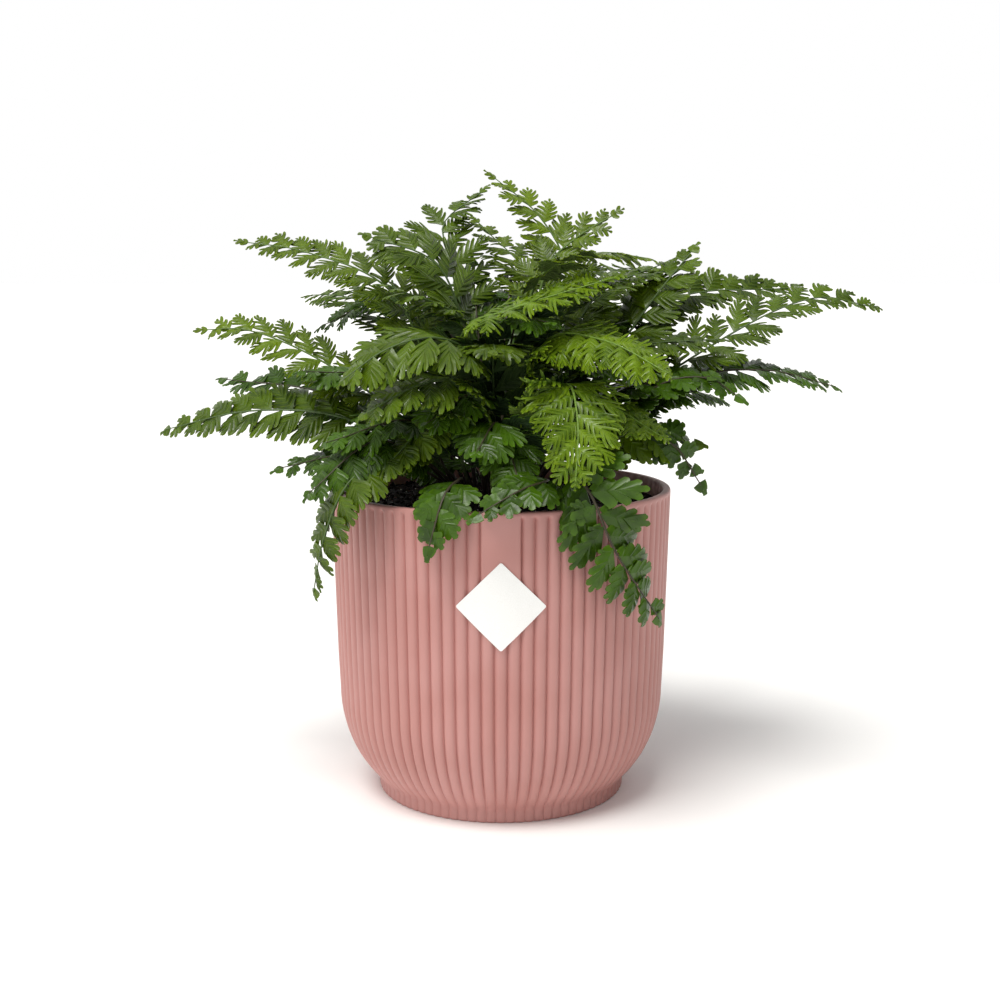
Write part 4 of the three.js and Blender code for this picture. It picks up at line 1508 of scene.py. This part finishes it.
    def build_blade(self, line: Midrib) -> bpy.types.Object:
        """Builds the blade's leaflets as one sheet and gives it its thickness and its two finishes.

        Args:
            line: The frond's midrib.

        Returns:
            The blade.
        """
        sheet = LeafSheet()
        blade = line.length * (1 - self.bare)
        pairs = max(self.FEWEST_PAIRS, round(blade / self.cut.value.spacing))
        for side in (1, -1):
            for i in range(pairs):
                place = (i + (0.1 if side > 0 else 0.55)) / (pairs + 0.35)
                leaflet = self.leaflet(line, place, side, i)
                leaflet.grow(sheet)
                if self.cut.value.spur and leaflet.length > self.SPUR_FROM:
                    leaflet.spur().grow(sheet)
        self.leaflet(line, self.END_PLACE, 0, pairs).grow(sheet)
        piece = sheet.to_piece(f"blade_{self.name}")
        piece.data.materials.append(self.dress().upper().material())
        piece.data.materials.append(self.dress().under().material())
        thickness = self.BLADE_THICKNESS * MM
        add_modifier(piece, "SOLIDIFY", thickness=thickness, offset=-1, material_offset=1)
        smooth_faces(piece, 60)
        return piece

    def build(self, soil: PottingSoil) -> bpy.types.Object:
        """Builds the frond.

        Args:
            soil: The soil that it stands in.

        Returns:
            The finished frond.
        """
        line = self.midrib(soil)
        return join_pieces([self.build_blade(line), self.build_stalk(line)], f"fern_frond_{self.name}")


FRONDS = [
    # Left side
    Frond(
        "left_crest", Age.YOUNG, Cut.COMB, 176, Ring.MIDDLE, 68, [(177, 45, 80), (176, 82, 97)],
        (175, 108, 101), 35, 8, 22, 0.38,
    ),
    Frond(
        "left_arch", Age.YOUNG, Cut.COMB, 190, Ring.MIDDLE, 66, [(184, 70, 50), (181, 105, 65)],
        (181, 123, 65), 30, 8, 22, 0.4,
    ),
    Frond(
        "left_rear", Age.OLD, Cut.FAN, 165, Ring.OUTER, 60, [(165, 76, 36)], (164, 127, 42), 25, 8, 20,
        0.42,
    ),
    Frond(
        "left_long", Age.GROWN, Cut.FAN, 203, Ring.OUTER, 58, [(199, 65, 30), (190, 103, 33)],
        (186, 138, 25), 40, 6, 21, 0.28,
    ),
    Frond(
        "left_shade", Age.OLD, Cut.FAN, 210, Ring.OUTER, 46, [(207, 62, 17)], (206, 96, 13), 20, 0, 16,
        0.36,
    ),
    Frond(
        "left_drape", Age.GROWN, Cut.FAN, 228, Ring.OUTER, 56,
        [(228, 56, 21), (226, 83, 10), (223, 92, -11)], (220, 94, -33), 5, -4, 18, 0.3, face=245,
    ),
    Frond(
        "left_back_high", Age.GROWN, Cut.COMB, 148, Ring.MIDDLE, 64, [], (148, 102, 78), 15, 8, 26, 0.34,
        -6,
    ),
    Frond("left_back_low", Age.OLD, Cut.FAN, 142, Ring.OUTER, 56, [], (140, 112, 24), 10, 4, 27, 0.28, -22),
    # Top
    Frond(
        "top_left", Age.GROWN, Cut.COMB, 130, Ring.INNER, 86, [(124, 38, 93), (121, 49, 109)],
        (99, 51, 124), 0, 10, 24, 0.5,
    ),
    Frond(
        "top_spire", Age.YOUNG, Cut.COMB, 45, Ring.INNER, 82, [(36, 34, 88), (60, 33, 112)], (97, 30, 129),
        30, 8, 21, 0.5, face=150,
    ),
    Frond(
        "top_right", Age.YOUNG, Cut.COMB, 4, Ring.INNER, 84, [(17, 20, 90), (11, 31, 102)], (7, 47, 112),
        -55, 8, 17, 0.58,
    ),
    Frond(
        "top_flat_left", Age.GROWN, Cut.FAN, 172, Ring.INNER, 84, [(190, 25, 90)], (186, 54, 103), 40, 6,
        24, 0.58,
    ),
    Frond(
        "top_flat_right", Age.YOUNG, Cut.FAN, 318, Ring.INNER, 84, [(311, 23, 86), (324, 46, 96)],
        (329, 66, 94), 0, 4, 20, 0.63,
    ),
    # Right side
    Frond(
        "right_crest", Age.GROWN, Cut.FAN, 6, Ring.MIDDLE, 66, [(7, 60, 72)], (10, 82, 98), -35, 8, 20, 0.5,
    ),
    Frond(
        "right_upper", Age.GROWN, Cut.FAN, 22, Ring.MIDDLE, 62, [(20, 72, 74)], (16, 134, 82), -34, 16, 19,
        0.42,
    ),
    Frond(
        "right_long", Age.GROWN, Cut.COMB, 352, Ring.MIDDLE, 58, [(358, 78, 53), (1, 130, 78)],
        (1, 155, 74), -30, 12, 22, 0.4,
    ),
    Frond(
        "right_low", Age.OLD, Cut.FAN, 352, Ring.OUTER, 60, [(354, 74, 44), (355, 108, 49)], (357, 138, 42),
        -20, 6, 21, 0.4,
    ),
    Frond(
        "right_small", Age.OLD, Cut.ROUND, 336, Ring.OUTER, 62, [(337, 70, 45), (340, 88, 47)],
        (341, 99, 40), -25, 4, 15, 0.48,
    ),
    Frond(
        "right_fan", Age.OLD, Cut.ROUND, 343, Ring.OUTER, 54, [(336, 58, 24), (337, 74, 21)], (341, 85, 4),
        -70, 0, 13, 0.42, face=330,
    ),
    Frond(
        "right_lime", Age.LIME, Cut.FINE, 322, Ring.OUTER, 60, [(320, 50, 36)], (317, 84, 27), -15, 4, 18,
        0.38,
    ),
    Frond(
        "right_back_high", Age.GROWN, Cut.COMB, 54, Ring.MIDDLE, 68, [], (52, 106, 90), -10, 8, 25, 0.4, -4,
    ),
    Frond("right_back_low", Age.OLD, Cut.FAN, 33, Ring.OUTER, 56, [], (31, 120, 30), -10, 4, 27, 0.28, -20),
    # Front
    Frond(
        "front_lime", Age.LIME, Cut.FINE, 286, Ring.OUTER, 72, [(300, 50, 46), (293, 73, 34)],
        (289, 84, 13), 0, 4, 29, 0.34,
    ),
    Frond(
        "front_crown", Age.LIME, Cut.FINE, 298, Ring.MIDDLE, 80, [(301, 35, 62), (308, 64, 63)],
        (312, 92, 52), -20, -4, 26, 0.4,
    ),
    Frond(
        "front_fan", Age.GROWN, Cut.FAN, 252, Ring.INNER, 84, [(250, 28, 53), (242, 54, 64), (232, 70, 60)],
        (226, 85, 49), 20, -4, 27, 0.5,
    ),
    Frond(
        "front_fan_low", Age.GROWN, Cut.FAN, 254, Ring.OUTER, 70, [(250, 44, 46), (241, 60, 47)],
        (231, 82, 36), 15, -4, 24, 0.36,
    ),
    Frond(
        "front_shade", Age.OLD, Cut.FAN, 270, Ring.OUTER, 60, [(268, 42, 31)], (262, 66, 22), 0, -4, 22,
        0.38,
    ),
    Frond(
        "front_sweep", Age.LIME, Cut.FINE, 224, Ring.MIDDLE, 82, [(236, 27, 65), (274, 37, 74)],
        (317, 61, 87), -25, 8, 18, 0.58, face=300,
    ),
    Frond(
        "front_high", Age.GROWN, Cut.FAN, 213, Ring.INNER, 84, [(219, 18, 67)], (217, 57, 84), 0, -6, 17,
        0.6,
    ),
    Frond(
        "front_low", Age.GROWN, Cut.ROUND, 297, Ring.OUTER, 40, [(287, 60, 10), (276, 73, 9)], (264, 82, 1),
        25, 0, 16, 0.36, look=Age.OLD,
    ),
    Frond(
        "drape_right", Age.OLD, Cut.ROUND, 308, Ring.OUTER, 44,
        [(296, 60, 13), (295, 79, 7), (300, 84, -13)], (315, 86, -43), -60, 0, 23, 0.42, face=330,
    ),
    Frond(
        "drape_left", Age.OLD, Cut.ROUND, 241, Ring.OUTER, 40, [(253, 54, 10), (253, 73, 6)],
        (251, 82, -12), 0, 0, 15, 0.6,
    ),
    # Back
    Frond(
        "back_high", Age.YOUNG, Cut.COMB, 88, Ring.INNER, 80, [(70, 43, 80)], (100, 66, 112), 0, 8, 25,
        0.34, 4,
    ),
    Frond("back_right", Age.GROWN, Cut.FAN, 70, Ring.MIDDLE, 64, [], (65, 118, 58), 0, 8, 27, 0.3, -12),
    Frond("back_left", Age.GROWN, Cut.COMB, 112, Ring.MIDDLE, 64, [], (112, 118, 62), 0, 8, 27, 0.3, -8),
    Frond("back_low_right", Age.OLD, Cut.COMB, 64, Ring.OUTER, 56, [], (61, 108, 10), 0, 0, 28, 0.26, -36),
    Frond("back_low", Age.OLD, Cut.FAN, 88, Ring.OUTER, 58, [], (88, 114, 24), 0, 0, 25, 0.26, -30),
    Frond("back_low_left", Age.OLD, Cut.FAN, 114, Ring.OUTER, 56, [], (114, 106, 8), 0, 0, 28, 0.26, -40),
]


# Fronds deep in the plant, of which the photograph shows only dark leaves between the others. The order of
# both lists gives the fronds their seeds.
SHADED_FRONDS = [
    Frond("shade_1", Age.OLD, Cut.FAN, 222, Ring.OUTER, 58, [(222, 46, 30)], (217, 84, 24), 8, 0, 25, 0.28),
    Frond(
        "shade_2", Age.GROWN, Cut.FAN, 240, Ring.OUTER, 62, [(238, 42, 34)],
        (231, 72, 14), 0, -4, 24, 0.3,
    ),
    Frond(
        "shade_3", Age.OLD, Cut.FAN, 255, Ring.MIDDLE, 70, [(250, 32, 40)],
        (243, 62, 32), 8, 0, 24, 0.32,
    ),
    Frond(
        "shade_4", Age.OLD, Cut.FAN, 315, Ring.MIDDLE, 70, [(318, 40, 50)],
        (324, 72, 50), -8, 0, 24, 0.34,
    ),
    Frond(
        "shade_5", Age.OLD, Cut.ROUND, 335, Ring.OUTER, 62, [(338, 50, 40)],
        (340, 88, 48), -12, 0, 22, 0.34,
    ),
    Frond(
        "shade_6", Age.GROWN, Cut.FAN, 345, Ring.MIDDLE, 64, [(346, 52, 56)],
        (350, 90, 62), -10, 4, 24, 0.34,
    ),
    Frond(
        "shade_7", Age.GROWN, Cut.FAN, 262, Ring.MIDDLE, 78, [(264, 30, 58)],
        (268, 60, 60), 0, 0, 24, 0.36,
    ),
    Frond("shade_8", Age.OLD, Cut.FAN, 285, Ring.INNER, 82, [(284, 24, 68)], (290, 54, 70), 0, 0, 24, 0.4),
    Frond(
        "shade_9", Age.GROWN, Cut.COMB, 340, Ring.INNER, 80, [(342, 30, 78)],
        (345, 64, 88), -8, 4, 22, 0.42,
    ),
    Frond(
        "shade_10", Age.GROWN, Cut.FAN, 20, Ring.MIDDLE, 74, [(18, 40, 76)],
        (16, 76, 94), -10, 4, 22, 0.4,
    ),
    Frond(
        "shade_11", Age.OLD, Cut.COMB, 160, Ring.MIDDLE, 72, [(158, 50, 76)],
        (168, 78, 66), 16, 4, 24, 0.36,
    ),
    Frond(
        "shade_12", Age.OLD, Cut.FAN, 196, Ring.MIDDLE, 66, [(198, 44, 44)],
        (200, 84, 50), 10, 2, 25, 0.34,
    ),
    Frond(
        "shade_13", Age.OLD, Cut.FAN, 268, Ring.OUTER, 60, [(272, 42, 24)],
        (276, 66, 10), 0, 0, 20, 0.34,
    ),
    Frond(
        "shade_15", Age.OLD, Cut.FAN, 160, Ring.INNER, 60, [(170, 26, 14)],
        (196, 48, 18), 60, 0, 22, 0.15,
    ),
    Frond("shade_17", Age.OLD, Cut.FAN, 60, Ring.INNER, 60, [(70, 30, 18)], (80, 56, 22), 0, 0, 24, 0.2),
    Frond(
        "shade_16", Age.GROWN, Cut.ROUND, 333, Ring.OUTER, 56, [(333, 56, 24)],
        (344, 82, 20), -45, 0, 19, 0.36,
    ),
    Frond("shade_18", Age.OLD, Cut.FAN, 80, Ring.INNER, 82, [(70, 24, 56)], (62, 44, 62), 0, 0, 22, 0.4),
    Frond("shade_19", Age.OLD, Cut.FAN, 25, Ring.INNER, 80, [(24, 40, 62)], (23, 74, 72), 0, 0, 24, 0.36),
    Frond("shade_20", Age.OLD, Cut.FAN, 10, Ring.MIDDLE, 66, [(10, 44, 40)], (8, 78, 44), 0, 0, 24, 0.32),
    Frond("shade_21", Age.OLD, Cut.FAN, 100, Ring.INNER, 74, [(96, 26, 34)], (90, 54, 38), 0, 0, 26, 0.24),
    Frond(
        "shade_22", Age.OLD, Cut.COMB, 130, Ring.INNER, 82, [(128, 28, 70)],
        (124, 58, 84), 0, 0, 25, 0.34,
    ),
    Frond(
        "shade_23", Age.OLD, Cut.FAN, 118, Ring.INNER, 84, [(116, 22, 62)],
        (108, 40, 92), 0, 0, 23, 0.36,
    ),
    Frond("shade_24", Age.OLD, Cut.FAN, 88, Ring.INNER, 84, [(86, 22, 60)], (84, 44, 88), 0, 0, 23, 0.36),
    Frond("shade_25", Age.OLD, Cut.FAN, 95, Ring.INNER, 70, [(92, 20, 22)], (92, 48, 30), 0, 0, 24, 0.2),
    Frond(
        "shade_26", Age.OLD, Cut.FAN, 150, Ring.INNER, 84, [(150, 24, 62)],
        (140, 46, 76), 0, 0, 24, 0.36,
    ),
    Frond(
        "shade_14", Age.OLD, Cut.FAN, 222, Ring.OUTER, 50, [(223, 66, 24)],
        (220, 95, 6), 20, -6, 22, 0.34,
    ),
]


@dataclass
class CoiledFrond:
    """The young frond that is still coiled up, with the buds of its leaflets round the coil."""

    azimuth: float = 262.0
    reach: float = 26.0
    rise: float = 31.0
    coil_radius: float = 4.2
    turns: float = 1.5
    tighten: float = 0.72
    stem_radius: float = 1.2
    end_radius: float = 0.7
    sides: int = 10
    stem_steps: int = 14
    steps: int = 54
    lead_out: float = 1.8
    buds: int = 46
    bud_sizes: tuple[float, float] = (1.25, 0.7)
    bud_stand: float = 1.1

    def path(self, soil: PottingSoil) -> list[Vector]:
        """Draws the stem's line.

        Args:
            soil: The soil that it stands in.

        Returns:
            Its points, from below the soil through the coil.
        """
        out = heading(self.azimuth, 0)
        foot = polar(Ring.OUTER.value, self.azimuth, soil.height_at(Ring.OUTER.value) - Frond.DEPTH)
        eye = polar(self.reach, self.azimuth, POT_HEIGHT + self.rise)
        bottom = eye - out * self.coil_radius
        points = [foot.lerp(bottom, i / self.stem_steps) for i in range(self.stem_steps)]
        for i in range(self.steps + 1):
            share = i / self.steps
            turn = 2 * math.pi * self.turns * share
            radius = self.coil_radius * (1 - self.tighten * share)
            at = eye - out * (radius * math.cos(turn)) + Vector((0, 0, radius * math.sin(turn)))
            points.append(at + out.cross(Vector((0, 0, 1))) * (self.lead_out * share))
        return points

    def build(self, soil: PottingSoil) -> bpy.types.Object:
        """Builds the coiled frond.

        Args:
            soil: The soil that it stands in.

        Returns:
            The finished coil on its stem.
        """
        path = self.path(soil)
        side = heading(self.azimuth, 0).cross(Vector((0, 0, 1))).normalized()
        points, faces = [], []
        for i, at in enumerate(path):
            along = (path[min(i + 1, len(path) - 1)] - path[max(i - 1, 0)]).normalized()
            over = side.cross(along).normalized()
            radius = lerp(self.stem_radius, self.end_radius, clamp((i - self.stem_steps) / self.steps))
            for k in range(self.sides):
                turn = 2 * math.pi * k / self.sides
                spoke = side * math.cos(turn) + over * math.sin(turn)
                points.append(at + spoke * radius * (1 + 0.2 * wobble(i * 3.1 + k)))
            if i:
                start = (i - 1) * self.sides
                for k in range(self.sides):
                    after = (k + 1) % self.sides
                    near, far = start + k, start + after
                    faces.append((near, near + self.sides, far + self.sides, far))
        faces.append(tuple(range(self.sides)))
        faces.append(tuple(reversed(range(len(points) - self.sides, len(points)))))
        stem = make_piece("coil_stem", points, [], faces)
        coil = join_pieces([stem, *self.build_buds(path, side)], "coiled_young_frond")
        coil.data.materials.clear()
        coil.data.materials.append(FUZZ.material())
        smooth_faces(coil, 80)
        return coil

    def build_buds(self, path: list[Vector], side: Vector) -> list[bpy.types.Object]:
        """Builds the rolled leaflet buds that stand on both flanks of the coil.

        Args:
            path: The stem's line.
            side: The direction from the coil to one of its flanks.

        Returns:
            The buds.
        """
        buds = []
        for i in range(self.buds):
            share = i / self.buds
            stand = path[self.stem_steps + int(share * self.steps)]
            flank = self.bud_stand if i % 2 else -self.bud_stand
            size = lerp(*self.bud_sizes, share) * (1 + 0.3 * wobble(i * 5.7))
            place = (stand + side * flank + Vector((0, 0, 0.5 * wobble(i * 2.9)))) * MM
            deselect_all()
            bpy.ops.mesh.primitive_ico_sphere_add(subdivisions=2, radius=size * MM, location=place)
            bpy.ops.object.transform_apply(location=True, rotation=False, scale=False)
            buds.append(bpy.context.object)
        return buds


# The studio


@dataclass
class Studio:
    """A pale floor, soft studio light and the photograph's camera."""

    distance: float = 608.0
    eye_height: float = 219.0
    look_down: float = 9.01
    lens: float = 52.56
    shift: float = -0.001
    sun: float = 2.7
    softness: float = 30.0
    sun_azimuth: float = 236.0
    sun_height: float = 68.0
    ceiling: float = 0.5
    front_wall: float = 0.95
    right_wall: float = 0.08

    SIDEWAYS = (-0.3, 0.7)  # where along X the front wall's light gives way to the right wall's
    BACKWARDS = (0.1, 0.8)  # where along Y it gives way to the white back wall's
    UPWARDS = (0.3, 0.75)  # where along Z the walls' light gives way to the ceiling's

    def build_floor(self) -> None:
        """Lays a wide sheet of pale paper."""
        deselect_all()
        bpy.ops.mesh.primitive_plane_add(size=40, location=(0, 0, 0))
        floor = bpy.context.object
        floor.name = "paper_floor"
        floor.data.materials.append(PAPER_FLOOR.material())

    def build_camera(self) -> None:
        """Sets the camera at the photograph's viewing angle."""
        data = bpy.data.cameras.new("camera")
        data.lens, data.sensor_width, data.shift_x = self.lens, 36.0, self.shift
        data.clip_start = 0.01
        camera = bpy.data.objects.new("camera", data)
        camera.location = (0, -self.distance * MM, self.eye_height * MM)
        camera.rotation_euler = (math.radians(90 - self.look_down), 0, 0)
        bpy.context.scene.collection.objects.link(camera)
        bpy.context.scene.camera = camera

    def add_sun(self) -> None:
        """Adds the key light, which is soft and comes from the upper left, in front of the plant."""
        data = bpy.data.lights.new("key_light", "SUN")
        data.energy = self.sun
        data.angle = math.radians(self.softness)
        data.color = linear("#FFFDF9")[:3]
        light = bpy.data.objects.new("key_light", data)
        light.location = heading(self.sun_azimuth, self.sun_height) * 2
        light.rotation_euler = (-light.location).to_track_quat("-Z", "Y").to_euler()
        bpy.context.scene.collection.objects.link(light)

    def build_world(self) -> None:
        """Surrounds the scene with a room whose back wall is white and whose other walls are dimmer."""
        world = bpy.data.worlds.new("white_room")
        world.use_nodes = True
        tree = world.node_tree
        backdrop = tree.nodes["Background"]
        way = add_node(tree, "ShaderNodeTexCoord", output="Generated")
        x, y, z = add_node(tree, "ShaderNodeSeparateXYZ", (way,)).node.outputs
        sides = (x, *self.SIDEWAYS, self.front_wall, self.right_wall)
        front = add_node(tree, "ShaderNodeMapRange", sides, **EASED)
        wall = add_node(tree, "ShaderNodeMapRange", (y, *self.BACKWARDS, front, 1.0), **EASED)
        level = add_node(tree, "ShaderNodeMapRange", (z, *self.UPWARDS, wall, self.ceiling), **EASED)
        tree.links.new(level, backdrop.inputs["Strength"])
        backdrop.inputs["Color"].default_value = (1, 1, 1, 1)
        bpy.context.scene.world = world

    def build(self) -> None:
        """Builds the floor, the camera, the room and the key light."""
        self.build_floor()
        self.build_camera()
        self.build_world()
        self.add_sun()
        bpy.context.scene.view_settings.view_transform = "Standard"


def main() -> None:
    """Builds the pot, its label, the soil, the fronds and the studio, in that order."""
    logging.basicConfig(level=logging.INFO, format="%(message)s")
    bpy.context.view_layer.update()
    pot = RibbedPot()
    hand_over(pot.build(), "pot", "pot")
    hand_over(DiamondLabel(pot).build(), "label", "label")
    soil = PottingSoil(pot)
    for piece in soil.build():
        hand_over(piece, "soil", "soil")
    hand_over(CoiledFrond().build(soil), "coil", "young_coil")
    for number, frond in enumerate(FRONDS + SHADED_FRONDS):
        frond.seed = number * 101 + 7
    for frond in FRONDS:
        hand_over(frond.build(soil), frond.age.slot(), f"frond_{frond.name}")
    for frond in SHADED_FRONDS:
        hand_over(frond.build(soil), frond.age.slot())
    Studio().build()


if __name__ == "__main__":
    main()
